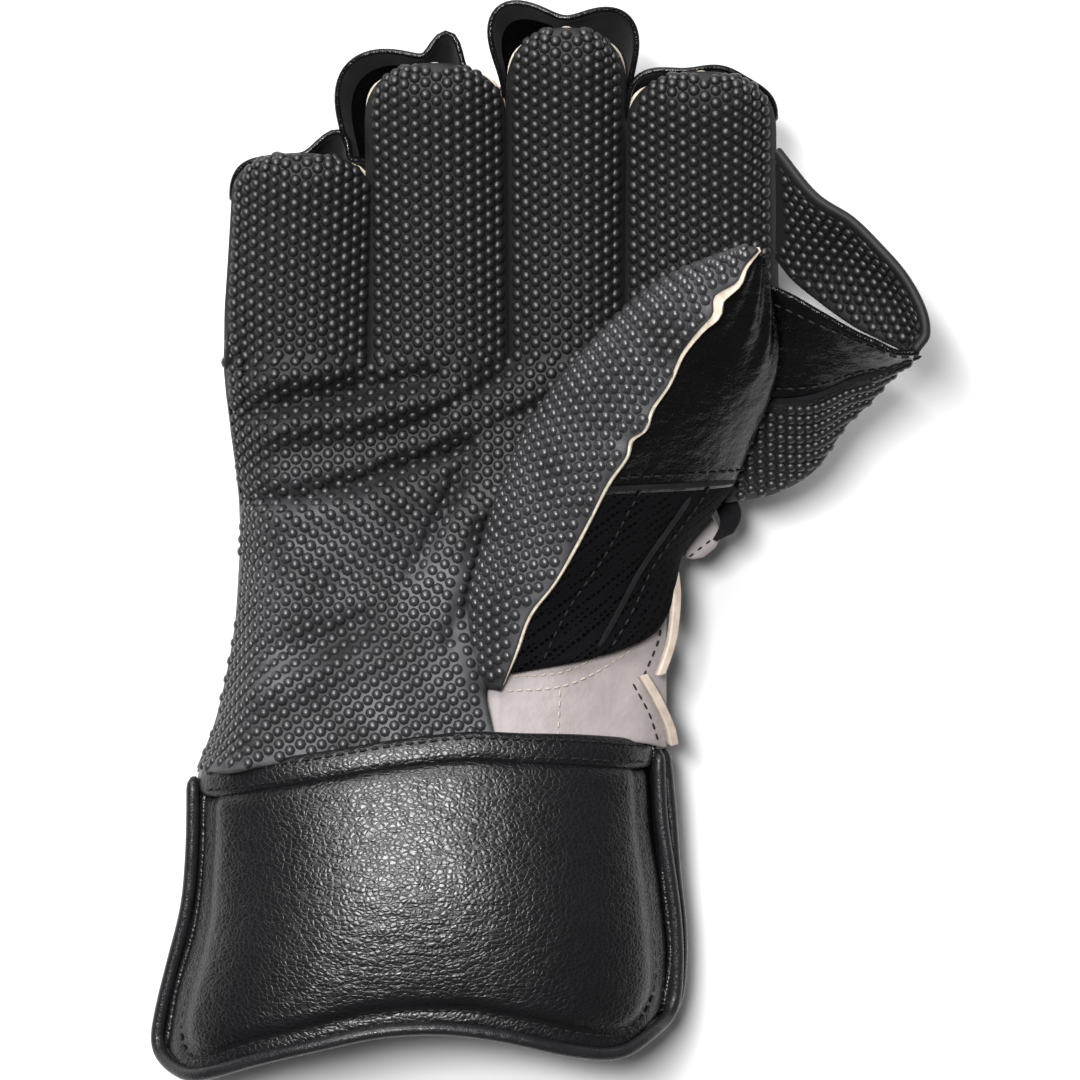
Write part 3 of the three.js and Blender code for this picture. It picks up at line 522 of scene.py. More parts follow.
def along(points, step):
    """Points at an even step along a smooth curve through a few places."""
    points = np.asarray(points, float)
    marks = run_along(points)
    route = {"at": marks, "place": points}
    dense = read(route, "place", np.linspace(0, marks[-1], len(points) * 24))
    run = run_along(dense)
    even = np.linspace(0, run[-1], max(3, int(run[-1] / step)))
    return np.stack([np.interp(even, run, dense[:, k]) for k in range(3)], axis=1)


def rolled_cord(name, points, radius, finish, sides=14):
    """A round roll of leather along a route, with closed, rounded ends."""
    route = along(points, 0.0016)
    for step in range(6):
        route[1:-1] = (route[:-2] + 2 * route[1:-1] + route[2:]) / 4
    run = np.gradient(route, axis=0)
    run /= np.linalg.norm(run, axis=1, keepdims=True)
    aside = np.cross(run, (0, 0, 1))
    aside /= np.linalg.norm(aside, axis=1, keepdims=True)
    up = np.cross(aside, run)
    turn = np.linspace(0, 2 * np.pi, sides, endpoint=False)
    count = len(route)
    taper = np.ones(count)
    taper[[0, -1]] = 0.35
    taper[[1, -2]] = 0.86
    ring = np.cos(turn)[None, :, None] * aside[:, None] + np.sin(turn)[None, :, None] * up[:, None]
    corners = (route[:, None] + ring * (radius * taper)[:, None, None]).reshape(-1, 3)
    here = (np.arange(count - 1)[:, None] * sides + np.arange(sides)).ravel()
    beside = (np.arange(count - 1)[:, None] * sides + (np.arange(sides) + 1) % sides).ravel()
    faces = np.stack([here, here + sides, beside + sides, beside], axis=1).tolist()
    first, last = len(corners), len(corners) + 1
    corners = np.concatenate([corners, route[:1], route[-1:]])
    tail = (count - 1) * sides
    for k in range(sides):
        after = (k + 1) % sides
        faces.append([first, k, after])
        faces.append([last, tail + after, tail + k])
    cord = plain_object(name, corners.tolist(), [], faces)
    cord.data.materials.append(finish)
    cord.data.polygons.foreach_set("use_smooth", np.ones(len(faces), bool))
    return cord


def piping_route(face, side_height, mouth_height, turned):
    """The piping round one panel, with its height at the sides and at the mouth."""
    stops = [(0, v, -1, 0, side_height) for v in (PIPING_END_SHARE, 0.15, 0.3, 0.5, 0.7, 0.88)]
    stops.append((0, 1, -0.7, -0.7, side_height))
    for a in (0.06, 0.12, 0.2, 0.32, 0.44, 0.56, 0.68, 0.8, 0.9, 0.96):
        stops.append((a, 1, 0, -1, mouth_height))
    stops.append((1, 1, 0.7, -0.7, side_height))
    stops += [(1, v, 1, 0, side_height) for v in (0.88, 0.7, 0.5, 0.3, 0.15, PIPING_END_SHARE)]
    out = PIPING_RADIUS * 0.7
    route = []
    for a, v, aside, ahead, height in stops:
        place = face(np.array(1.0 - a if turned else float(a)), np.array(float(v)))
        route.append(place + np.array([aside * out, ahead * out, height]))
    return route


def smooth_leather(name, low, high, roughness, pebble_size, pebble_depth, wrinkle=0.0004):
    """Polished black leather with a fine grain and soft wrinkles."""
    finish = Finish(name, roughness, 0.32)
    marks = finish.handling(0.012)
    finish.colour(marks["Patches"], low, high)
    pebble = finish.grain(pebble_size, 0.7, 0.22)
    wrinkles = finish.times(finish.noise(0.004, 4.0), wrinkle)
    finish.bump(finish.plus(finish.times(pebble, pebble_depth), wrinkles))
    finish.rough(finish.between(pebble, roughness + 0.12, roughness - 0.03))
    return finish.material


piping_leather = smooth_leather(
    "Piping leather", (0.012, 0.0118, 0.0134, 1), (0.017, 0.0166, 0.0186, 1), 0.26, 0.0008, 0.00003, 0.00025
)
front_piping = rolled_cord(
    "cuff_front_roll", piping_route(cuff_face, 0, -CUFF_EDGE_WALL / 2, False), PIPING_RADIUS, piping_leather
)
lay(front_piping, "piping_leather", "cuff_front_piping")
back_piping = rolled_cord(
    "cuff_back_roll",
    piping_route(cuff_underside, -2 * PIPING_RADIUS - GAP, PIPING_RADIUS, True),
    PIPING_RADIUS,
    piping_leather,
)
lay(back_piping, "piping_leather", "cuff_back_piping")

# Palm and finger facings
# One sheet of black pimpled rubber on a thin cream backing, cut into the four fingers and
# creased across the palm. Its edge is sewn to the stalls and the hand back, and the backing
# shows as a pale line where it was cut.
HAND_WIDTH = 0.150
HAND_LENGTH = 0.100
PALM_HEIGHT = 0.040
PALM_ROLL = 0.017  # how far in from the outer edge the palm curls down
FINGER_LENGTH = 0.086
FINGER_LIFT = 0.0324
FINGER_CROWN = 0.008
RUBBER_WALL = 0.0024
PIMPLE_PITCH = 0.0033
PIMPLE_WIDTH = 0.0032
PIMPLE_HEIGHT = 0.00105
SEAM_CLOSE = 0.0004  # how far past its CAD edge a facing reaches to touch its neighbour
CREAM_LIP = 0.0005  # how far the backing stands out from under the rubber at a finger's tip
HAND = {
    "at": [0.0, 0.12, 0.33, 0.47, 0.6, 0.72, 0.84, 0.92, 1.0],
    "left": [-0.622, -0.588, -0.556, -0.547, -0.543, -0.549, -0.56, -0.567, -0.572],
    "right": [-0.083, -0.1, -0.13, -0.11, -0.083, -0.02, 0.12, 0.305, 0.43],
    "seam": [0.6, 0.6, 0.6, 0.625, 0.65, 0.66, 0.69, 0.7, 0.72],
    "face": [1.2, 1.14, 1.07, 1.03, 1.0, 0.97, 0.96, 0.97, 0.98],
    "side": [0.218, 0.212, 0.205, 0.245, 0.28, 0.315, 0.35, 0.39, 0.43],
}
# Creases (-) and swells (+) of the palm in millimetres: the places that each runs through,
# how far it rises and half its width.
PALM_CREASES = [
    ([(-80, 42.5), (-48, 49), (-24, 53)], 2.6, 4.0),
    ([(-84, 34), (-56, 39.5), (-30, 45)], -4.4, 3.2),
    ([(-72, 29.5), (-50, 33.5), (-22, 38.5)], 3.4, 4.0),
    ([(-80, 23), (-52, 25), (-30, 31)], -1.8, 4.0),
    ([(-83, 11.5), (-65, 11.8), (-50, 15.5), (-38, 20), (-20, 25.5)], -6.2, 2.3),
    ([(-80, 6), (-64, 6.6), (-48, 10), (-33, 14)], 2.4, 4.6),
    ([(-44, 3)], 3.0, 9.0),
    ([(-64, -8)], 1.8, 9.0),
    ([(-20.5, 20), (-26.5, 6), (-34, -8)], -3.6, 2.4),
    ([(-15, 4), (-18.5, -11), (-24, -26)], -3.4, 2.2),
    ([(-52.6, -9)], -2.4, 5.0),
    ([(-75, -30), (-61, -28.5), (-48, -22)], -2.6, 4.0),
    ([(-80, -42), (-56, -35), (-43, -32)], 2.0, 4.5),
    ([(-34, -36), (-22, -40)], 1.2, 6.0),
]
FINGERS = [
    {"name": "little", "fork": (-0.572, -0.3125), "tip": (-0.54, -0.303)},
    {"name": "ring", "fork": (-0.309, -0.0575), "tip": (-0.307, -0.062)},
    {"name": "middle", "fork": (-0.054, 0.151), "tip": (-0.0585, 0.151)},
    {"name": "index", "fork": (0.1545, 0.43), "tip": (0.1545, 0.411)},
]
# Shares of the longest finger's length and lift, and where along it the stall ends in its cap.
SHARES = [(0.635, 0.56, 0.78), (0.9, 0.84, 0.68), (1.0, 1.0, 0.8), (0.872, 0.89, 0.84)]
for finger, (reach, lift, stall) in zip(FINGERS, SHARES):
    finger.update(reach=reach, lift=lift, stall=stall)
TIP_SHARE = 0.8  # where a facing's outline begins to close round the tip
FORK_FACE = 0.98  # a facing's height at the fork, a share of PALM_HEIGHT
CURL_SHARE = 0.65  # share of a finger's rise that comes from its curl, not its slope
FORK_Y = WRIST_Y + HAND_LENGTH
FINGER_COLUMNS = 20
PALM_ROWS = 60
RUBBER_DARK = (0.0062, 0.0059, 0.0068, 1)
# The pimples' lighter tone towards the wrist: dust, and painted light where the palm and thumb face the
# light.
RUBBER_DUSTY_AND_LIT = (0.027, 0.0266, 0.0295, 1)
# The ground between the pimples takes a paler colour: some dust, and a painted reflection of the light off
# the flat rubber there.
DUST_AND_SHEEN_BETWEEN = (0.088, 0.088, 0.094, 1)


def along_route(x, y, stops):
    """The distance from each place to a route of straight runs."""
    best = np.full(np.shape(x), np.inf)
    if len(stops) == 1:
        return np.hypot(x - stops[0][0], y - stops[0][1])
    for (x0, y0), (x1, y1) in zip(stops[:-1], stops[1:]):
        u, w = x1 - x0, y1 - y0
        s = np.clip(((x - x0) * u + (y - y0) * w) / (u * u + w * w), 0, 1)
        best = np.minimum(best, np.hypot(x - x0 - s * u, y - y0 - s * w))
    return best


def palm_face(a, t, creased=1.0):
    """The palm from the outer edge to the thumb, t from the wrist to the forks."""
    y = mix(cuff_top(mix(0.02, 0.6, a)) - 4 * GAP, FORK_Y, t)
    left = HAND_WIDTH * read(HAND, "left", t)
    x = mix(left, HAND_WIDTH * read(HAND, "right", t), a)
    seam = PALM_HEIGHT * read(HAND, "seam", t)
    face = PALM_HEIGHT * read(HAND, "face", t)
    roll = 1 - (1 - np.minimum(1, (x - left) / PALM_ROLL)) ** 2.4
    folds = np.zeros(np.shape(x))
    for stops, rise, width in PALM_CREASES:
        away = along_route(x * 1000, y * 1000, stops)
        folds = folds + rise * 0.001 * np.exp(-((away / width) ** 2))
    calm = np.clip((1 - t) / 0.04, 0, 1) * np.clip(t / 0.06, 0, 1)
    return places(x, y, mix(seam, face, roll) + creased * folds * calm * (0.25 + 0.75 * roll))


def finger_width(t):
    late = np.clip((t - TIP_SHARE) / (1 - TIP_SHARE), 0, 0.985)
    return (1 - late**2.5) ** 0.42


def finger_height(finger, t):
    rise = mix(t, t * t, CURL_SHARE)
    return PALM_HEIGHT * FORK_FACE + FINGER_LIFT * finger["lift"] * rise


def finger_crown(t):
    return FINGER_CROWN * mix(0.75, 1, t)


def finger_middle(finger, t):
    """The finger's middle line and half its width, in X."""
    left = HAND_WIDTH * mix(finger["fork"][0], finger["tip"][0], t)
    right = HAND_WIDTH * mix(finger["fork"][1], finger["tip"][1], t)
    return (left + right) / 2, (right - left) / 2


def finger_face(finger, a, t):
    """A finger's facing, crowned across and curling up towards its tip."""
    q = 2 * a - 1
    centre, half = finger_middle(finger, t)
    edge = np.abs(q) ** 2.4
    tip_drop = np.clip((t - TIP_SHARE) / (1 - TIP_SHARE), 0, 1) ** 2.5
    drop = finger_crown(t) * np.maximum(edge, tip_drop * 0.8 + edge * 0.2)
    y = FORK_Y + FINGER_LENGTH * finger["reach"] * t
    side = (half + SEAM_CLOSE) * q * finger_width(t)
    return places(centre + side, y, finger_height(finger, t) - drop)


# The grids of the palm and the fingers. A finger's first row is the palm's last one.
fork_lines = [FINGERS[0]["fork"][0]]
for one, other in zip(FINGERS[:-1], FINGERS[1:]):
    fork_lines.append((one["fork"][1] + other["fork"][0]) / 2)
fork_lines.append(FINGERS[-1]["fork"][1])
palm_across = [fork_lines[:1]]
for low, high in zip(fork_lines[:-1], fork_lines[1:]):
    palm_across.append(np.linspace(low, high, FINGER_COLUMNS + 1)[1:])
palm_across = np.concatenate(palm_across)
palm_across = (palm_across - fork_lines[0]) / (fork_lines[-1] - fork_lines[0])
palm_a, palm_t = np.meshgrid(palm_across, np.linspace(0, 1, PALM_ROWS + 1))
palm_grid = palm_face(palm_a, palm_t)
# The edge beside the thumb's heel is tucked in and down, under which the gusset is sewn.
tuck = smooth((palm_a - 0.93) / 0.07) * smooth((palm_t - 0.1) / 0.08)
tuck = tuck * (1 - smooth((palm_t - 0.5) / 0.15))
palm_grid = palm_grid + tuck[..., None] * np.array([0.003, 0, -0.0032])
finger_q = np.abs(2 * ((np.arange(len(palm_across)) % FINGER_COLUMNS) / FINGER_COLUMNS) - 1)
valley = 0.75 * FINGER_CROWN * finger_q**2.4 * (np.arange(len(palm_across)) > 2)
palm_grid[..., 2] -= valley * smooth((palm_t - 0.74) / 0.26) ** 1.5

sheet_corners = [palm_grid.reshape(-1, 3)]
sheet_quads = [grid_quads(len(palm_across) - 1, PALM_ROWS)]
sheet_lip = [np.zeros(palm_grid.shape[0] * palm_grid.shape[1])]
finger_grids = []
wide = len(palm_across)
for k, finger in enumerate(FINGERS):
    rows = int(FINGER_LENGTH * finger["reach"] / 0.0018)
    a, t = shares(FINGER_COLUMNS, rows)
    t = 1 - (1 - t) ** 1.3
    surface = finger_face(finger, a, t)
    root = palm_grid[-1, k * FINGER_COLUMNS:(k + 1) * FINGER_COLUMNS + 1]
    surface = surface + (root - surface[0]) * (1 - smooth(t / 0.3))[..., None]
    finger_grids.append(surface)
    first = sum(len(part) for part in sheet_corners)
    number = np.empty((rows + 1, FINGER_COLUMNS + 1), int)
    number[0] = PALM_ROWS * wide + k * FINGER_COLUMNS + np.arange(FINGER_COLUMNS + 1)
    number[1:] = first + np.arange(rows * (FINGER_COLUMNS + 1)).reshape(rows, -1)
    sheet_corners.append(surface[1:].reshape(-1, 3))
    shown = smooth((t[1:] - 0.62) / 0.2)
    if finger["name"] == "ring":
        shown = np.maximum(shown, (a[1:] == 0) * smooth((t[1:] - 0.15) / 0.2))
    shoulder = smooth((t[1:] - 0.82) / 0.12) * (1 - 0.9 * smooth((t[1:] - 0.97) / 0.02))
    sheet_lip.append((CREAM_LIP * shown * (1 + 3.2 * shoulder)).ravel())
    round_quad = [number[:-1, :-1], number[:-1, 1:], number[1:, 1:], number[1:, :-1]]
    sheet_quads.append(np.stack(round_quad, axis=-1).reshape(-1, 4))
sheet_corners = np.concatenate(sheet_corners)
sheet_quads = np.concatenate(sheet_quads)
sheet_lip = np.concatenate(sheet_lip)


def pimpled_rubber(name, shaded_clean_from, lit_dusty_from, dusty_and_lit, least, roughness, specular):
    """Black rubber that is lighter towards the wrist and darker towards the fingertips, in Y: partly dust
    and partly painted light, as the palm faces the light and the fingers turn away from it.
    """
    finish = Finish(name, roughness, specular)
    marks = finish.handling(0.016)
    height = node(finish.tree, "ShaderNodeSeparateXYZ", {0: finish.place}).outputs["Y"]
    # Painted light and dust: the share of the lighter tone, rising towards the wrist and scaled by the
    # patches.
    dust_and_light = ramp(finish.tree, height, shaded_clean_from, lit_dusty_from)
    dust_and_light = finish.times(dust_and_light, finish.between(marks["Patches"], least, 1.0))
    finish.colour(dust_and_light, RUBBER_DARK, dusty_and_lit)
    fine = finish.times(finish.noise(0.0005), 0.00003)
    finish.bump(finish.plus(fine, finish.times(finish.noise(0.003), 0.0002)))
    finish.rough(finish.between(dust_and_light, roughness + 0.09, roughness))
    return finish.material


def cut_backing():
    finish = Finish("Cream backing", 0.8, 0.3)
    marks = finish.handling(0.002)
    finish.colour(marks["Patches"], (0.82, 0.72, 0.59, 1), (0.58, 0.49, 0.39, 1))
    finish.bump(finish.times(finish.noise(0.0004), 0.00012))
    return finish.material


rubber = pimpled_rubber("Pimpled rubber", 0.03, -0.005, DUST_AND_SHEEN_BETWEEN, 0.0, 0.56, 0.5)
pimple_rubber = pimpled_rubber("Rubber pimples", 0.03, -0.005, RUBBER_DUSTY_AND_LIT, 0.6, 0.36, 0.75)
backing = cut_backing()
CUT_EDGE = [(0.0, 0.0), (0.12, 0.1), (0.49, 0.1), (0.52, 0.12), (0.9, 0.12), (1.0, 0.0)]


def row_of_pimples(k, reach, line, turn, inside, margin):
    """The pimples of row k on a line across the sheet, every second row half a step aside."""
    step = PIMPLE_PITCH * math.sqrt(3)
    start = (k % 2) * step / 2
    first = math.ceil((reach[0] + margin - start) / step)
    last = math.floor((reach[-1] - margin - start) / step)
    spots = np.arange(first, last + 1) * step + start
    spots = spots[np.interp(spots, reach, inside.astype(float)) > 0.99]
    axes = range(3)
    return [np.stack([np.interp(spots, reach, part[:, c]) for c in axes], axis=1) for part in (line, turn)]


def pimple_places(surface, rows, across_start, margin):
    """Places and directions of pimples in staggered rows, at an even pitch along a surface."""
    rows_total, columns_total = surface.shape[:2]
    way = grid_way(surface)
    middle = columns_total // 2
    run = np.zeros((rows_total, columns_total))
    run[1:] = np.cumsum(np.linalg.norm(np.diff(surface, axis=0), axis=2), axis=0)
    each = np.arange(columns_total)
    found, ways = [], []
    for k in rows:
        height = k * PIMPLE_PITCH / 2
        j = np.clip((run < height).sum(axis=0) - 1, 0, rows_total - 2)
        share = ((height - run[j, each]) / (run[j + 1, each] - run[j, each]))[:, None]
        line = mix(surface[j, each], surface[j + 1, each], share)
        turn = mix(way[j, each], way[j + 1, each], share)
        reach = run_along(line)
        reach = reach - reach[middle] + across_start
        row = row_of_pimples(k, reach, line, turn, height < run[-1] - margin, margin)
        found.append(row[0])
        ways.append(row[1])
    return np.concatenate(found), np.concatenate(ways)


def palm_pimples(margin):
    """Staggered rows that run on down the palm from the fingers' rows, level in Y."""
    way = grid_way(palm_grid)
    across = np.linspace(0, 1, 181)
    column = np.interp(across, palm_across, np.arange(wide))
    i = np.clip(column.astype(int), 0, wide - 2)
    lowest = cuff_top(mix(0.02, 0.6, across)) - 4 * GAP
    middle = palm_grid[-1, wide // 2, 0]
    found, ways = [], []
    for k in range(0, 70):
        y = FORK_Y - k * PIMPLE_PITCH / 2
        level = np.clip((y - lowest) / (FORK_Y - lowest), 0, 1)
        j = np.clip((level * PALM_ROWS).astype(int), 0, PALM_ROWS - 1)
        beside, ahead = (column - i)[:, None], (level * PALM_ROWS - j)[:, None]
        nearer = mix(palm_grid[j, i], palm_grid[j, i + 1], beside)
        farther = mix(palm_grid[j + 1, i], palm_grid[j + 1, i + 1], beside)
        line = mix(nearer, farther, ahead)
        turn = mix(way[j, i], way[np.minimum(j + 1, PALM_ROWS), i + 1], 0.5)
        plain = palm_face(across, level, 0.0)
        reach = run_along(plain)
        reach = reach - np.interp(middle, plain[:, 0], reach)
        row = row_of_pimples(k, reach, line, turn, y > lowest + margin, margin)
        found.append(row[0])
        ways.append(row[1])
    return np.concatenate(found), np.concatenate(ways)


def geometry_tree(name, inputs):
    """An empty geometry node tree with named inputs, and its two end nodes."""
    tree = bpy.data.node_groups.new(name, "GeometryNodeTree")
    tree.interface.new_socket(name="Geometry", in_out="INPUT", socket_type="NodeSocketGeometry")
    for label, kind in inputs:
        tree.interface.new_socket(name=label, in_out="INPUT", socket_type=kind)
    tree.interface.new_socket(name="Geometry", in_out="OUTPUT", socket_type="NodeSocketGeometry")
    return tree, tree.nodes.new("NodeGroupInput"), tree.nodes.new("NodeGroupOutput")


def finish_tree(tree, instances, given, ends):
    """Ends a tree: real meshes, smooth shading and the material."""
    real = node(tree, "GeometryNodeRealizeInstances", {0: instances})
    shaded = node(tree, "GeometryNodeSetShadeSmooth", {"Geometry": real.outputs[0]})
    sockets = {"Geometry": shaded.outputs[0], "Material": given.outputs["Material"]}
    dressed = node(tree, "GeometryNodeSetMaterial", sockets)
    tree.links.new(dressed.outputs[0], ends.inputs[0])


pimple_tree, given, ends = geometry_tree(
    "Pimples",
    [
        ("Pimple", "NodeSocketObject"),
        ("Width", "NodeSocketFloat"),
        ("Height", "NodeSocketFloat"),
        ("Seed", "NodeSocketInt"),
        ("Material", "NodeSocketMaterial"),
    ],
)
stored_way = {"Name": "way_out"}
way_out = node(pimple_tree, "GeometryNodeInputNamedAttribute", stored_way, data_type="FLOAT_VECTOR")
upright = node(pimple_tree, "FunctionNodeAlignRotationToVector", {"Vector": way_out.outputs[0]}, axis="Z")
uneven = node(pimple_tree, "FunctionNodeRandomValue", {"Seed": given.outputs["Seed"]}, data_type="FLOAT")
uneven.inputs[2].default_value = 0.93  # the least of the float sockets, which share their names
uneven.inputs[3].default_value = 1.06  # with those of the other types, and the greatest
pimple_size = node(
    pimple_tree,
    "ShaderNodeCombineXYZ",
    {"X": given.outputs["Width"], "Y": given.outputs["Width"], "Z": given.outputs["Height"]},
)
varied = node(pimple_tree, "ShaderNodeVectorMath", {0: pimple_size.outputs[0]}, operation="SCALE")
pimple_tree.links.new(uneven.outputs[1], varied.inputs["Scale"])
shape = node(pimple_tree, "GeometryNodeObjectInfo", {"Object": given.outputs["Pimple"]})
spread = node(
    pimple_tree,
    "GeometryNodeInstanceOnPoints",
    {
        "Points": given.outputs["Geometry"],
        "Instance": shape.outputs["Geometry"],
        "Rotation": upright.outputs[0],
        "Scale": varied.outputs[0],
    },
)
finish_tree(pimple_tree, spread.outputs[0], given, ends)


def turned_shape(name, profile, sides):
    """A small closed shape turned about Z from (radius, height) pairs, between two poles."""
    corners = [(0, 0, profile[0][1])]
    for radius, height in profile[1:-1]:
        for k in range(sides):
            turn = 2 * math.pi * k / sides
            corners.append((radius * math.cos(turn), radius * math.sin(turn), height))
    corners.append((0, 0, profile[-1][1]))
    faces = []
    rings = len(profile) - 2
    for k in range(sides):
        after = (k + 1) % sides
        faces.append((0, 1 + after, 1 + k))
        top = 1 + (rings - 1) * sides
        faces.append((len(corners) - 1, top + k, top + after))
        for ring in range(rings - 1):
            low = 1 + ring * sides
            faces.append((low + k, low + after, low + sides + after, low + sides + k))
    mesh = bpy.data.meshes.new(name)
    mesh.from_pydata(corners, [], faces)
    return bpy.data.objects.new(name, mesh)


dome = turned_shape("pimple_form", [(0, -0.3), (0.5, -0.25), (0.455, 0.38), (0.27, 0.83), (0, 1.0)], 8)


def grow_from(source, tree, values):
    """Runs a geometry tree on an object and gives the plain mesh that it makes."""
    modifier = source.modifiers.new("grow", "NODES")
    modifier.node_group = tree
    for item in tree.interface.items_tree:
        if item.in_out == "INPUT" and item.name in values:
            modifier[item.identifier] = values[item.name]
    bpy.context.view_layer.update()
    mesh = bpy.data.meshes.new_from_object(source.evaluated_get(bpy.context.evaluated_depsgraph_get()))
    source.modifiers.remove(modifier)
    bpy.data.objects.remove(source)
    return mesh


def add_mesh(piece, mesh):
    """Joins a plain mesh to a piece."""
    extra = bpy.data.objects.new("joined", mesh)
    bpy.context.scene.collection.objects.link(extra)
    both = [piece, extra]
    with bpy.context.temp_override(active_object=piece, object=piece, selected_editable_objects=both):
        bpy.ops.object.join()


def add_pimples(piece, spots, ways, seed, finish):
    """Moulds pimples on a piece, one at each spot."""
    source = plain_object("spots", spots.tolist(), [], [])
    way_out = source.data.attributes.new("way_out", "FLOAT_VECTOR", "POINT")
    way_out.data.foreach_set("vector", ways.ravel())
    values = {"Pimple": dome, "Width": PIMPLE_WIDTH, "Height": PIMPLE_HEIGHT}
    values.update({"Seed": seed, "Material": finish})
    add_mesh(piece, grow_from(source, pimple_tree, values))


facing_parts = thick_sheet(sheet_corners, sheet_quads, RUBBER_WALL, CUT_EDGE, sheet_lip)
facing_kinds = np.where(facing_parts[2] == EDGE + 1, 1, 0)
facings = make_piece("palm_and_finger_facings", *facing_parts[:2], [rubber, backing], facing_kinds)
palm_spots, palm_ways = palm_pimples(0.0012)
all_spots, all_ways = [palm_spots], [palm_ways]
fork_run = run_along(palm_grid[-1])
for k, surface in enumerate(finger_grids):
    start = fork_run[k * FINGER_COLUMNS + FINGER_COLUMNS // 2] - fork_run[wide // 2]
    spots, ways = pimple_places(surface, range(1, 60), start, 0.0014)
    all_spots.append(spots)
    all_ways.append(ways)
add_pimples(facings, np.concatenate(all_spots), np.concatenate(all_ways), 3, pimple_rubber)
lay(facings, "pimpled_rubber", "palm_facing", *[f"{finger['name']}_facing" for finger in FINGERS])

# Thumb
# The same rubber covers the thumb's inner side and stands up in a wavy cut edge where it is
# sewn to the leather cap, the mesh side panel below the cap and the leather at the back.
THUMB_LENGTH = 0.140
THUMB_ROOT = np.array([-0.012, WRIST_Y + 0.09 * HAND_LENGTH, 0])
THUMB_CAP_SHARE = 0.46
GATHER_DEPTH = 0.0006  # of the small folds where the cap's leather is gathered
THUMB = {
    "at": [0, 0.17, 0.33, 0.43, 0.55, 0.75, 0.9, 1],
    "fold": [
        (-0.016, 0.003, 0.318), (-0.052, 0.179, 0.297), (-0.002, 0.357, 0.292), (0.043, 0.443, 0.303),
        (0.1, 0.521, 0.325), (0.21, 0.635, 0.425), (0.34, 0.753, 0.53), (0.448, 0.824, 0.655),
    ],
    "swell": [
        (-0.006, 0.003, 0.326), (-0.012, 0.186, 0.35), (0.028, 0.36, 0.372), (0.05, 0.439, 0.393),
        (0.086, 0.529, 0.421), (0.181, 0.66, 0.517), (0.309, 0.782, 0.603), (0.458, 0.838, 0.69),
    ],
    "ridge": [
        (0.0, 0.003, 0.328), (0.057, 0.156, 0.386), (0.133, 0.269, 0.429), (0.179, 0.364, 0.464),
        (0.234, 0.456, 0.514), (0.316, 0.601, 0.586), (0.393, 0.742, 0.66), (0.475, 0.832, 0.7),
    ],
    "knee": [
        (0.24, 0.075, 0.29), (0.315, 0.184, 0.285), (0.386, 0.3, 0.3), (0.431, 0.383, 0.343),
        (0.472, 0.477, 0.393), (0.523, 0.62, 0.497), (0.513, 0.737, 0.577), (0.49, 0.826, 0.68),
    ],
    "keel": [
        (0.31, 0.14, 0.215), (0.335, 0.21, 0.214), (0.379, 0.32, 0.221), (0.386, 0.393, 0.243),
        (0.4, 0.479, 0.286), (0.44, 0.607, 0.357), (0.45, 0.72, 0.475), (0.472, 0.814, 0.645),
    ],
    "under": [
        (0.15, 0.1, 0.2), (0.18, 0.24, 0.2), (0.2, 0.36, 0.235), (0.22, 0.42, 0.252),
        (0.26, 0.5, 0.272), (0.33, 0.613, 0.34), (0.385, 0.73, 0.45), (0.462, 0.816, 0.64),
    ],
}
# The waves of the cut edge along the thumb, in millimetres: how far it stands out, and how
# far the cream backing stands out under it.
CUT_WAVES = {
    "at": [
        0, 0.1, 0.18, 0.26, 0.34, 0.42, 0.5, 0.56, 0.6, 0.63,
        0.68, 0.74, 0.8, 0.85, 0.88, 0.91, 0.94, 0.97, 1,
    ],
    "out": [0, 0.7, -0.2, 0.6, -0.2, 0.7, -0.2, 0.6, -1.4, 1.6, 0, 1.1, 0, 2, 3.4, 0, 3.2, 1, 0.8],
    "cream": [
        0.4, 0.5, 0.6, 0.45, 0.6, 0.5, 0.65, 0.5, 0.9, 0.5,
        0.7, 0.6, 0.9, 1.2, 2.0, 2.6, 1.2, 0.7, 0.5,
    ],
}


def thumb_place(column, s):
    return read(THUMB, column, s) * THUMB_LENGTH + THUMB_ROOT


def bow(first, middle, last, a):
    """An arc through three places."""
    control = 2 * middle - (first + last) / 2
    a = a[..., None]
    return first * (1 - a) ** 2 + control * 2 * a * (1 - a) + last * a * a


def thumb_face(a, s):
    """The thumb's rubber side, from the fold beside the palm to its wavy cut edge."""
    surface = bow(thumb_place("fold", s), thumb_place("swell", s), thumb_place("ridge", s), a)
    wave = read(CUT_WAVES, "out", s) * 0.001 * smooth((a - 0.72) / 0.28)
    return surface + wave[..., None] * np.array([0.62, -0.2, 0.5])


def thumb_side(a, s):
    """The side of the thumb from the cut edge down to its keel."""
    side = bow(thumb_place("ridge", s), thumb_place("knee", s), thumb_place("keel", s), a)
    # The side is slack towards the wrist and lies in, so that the tab shows beside it.
    slack = -0.0055 * np.exp(-(((s - 0.3) / 0.11) ** 2)) * smooth(a / 0.7)
    return side + slack[..., None] * np.array([1.0, 0, 0])


def behind_edge(a, s, surface):
    """Moves a side piece in behind the facing's wall where it meets the cut edge."""
    near, edge = thumb_face(np.full_like(a, 0.94), s), thumb_face(np.ones_like(a), s)
    ahead = thumb_face(np.ones_like(a), s + 0.01) - thumb_face(np.ones_like(a), s - 0.01)
    way = np.cross(edge - near, ahead)
    way /= np.linalg.norm(way, axis=-1, keepdims=True)
    return surface - way * (RUBBER_WALL * (1 - smooth(a / 0.3)))[..., None]


def thumb_below(a, s):
    """The leather at the thumb's back, from its keel round to the fold beside the palm."""
    return bow(thumb_place("keel", s), thumb_place("under", s), thumb_place("fold", s), a)


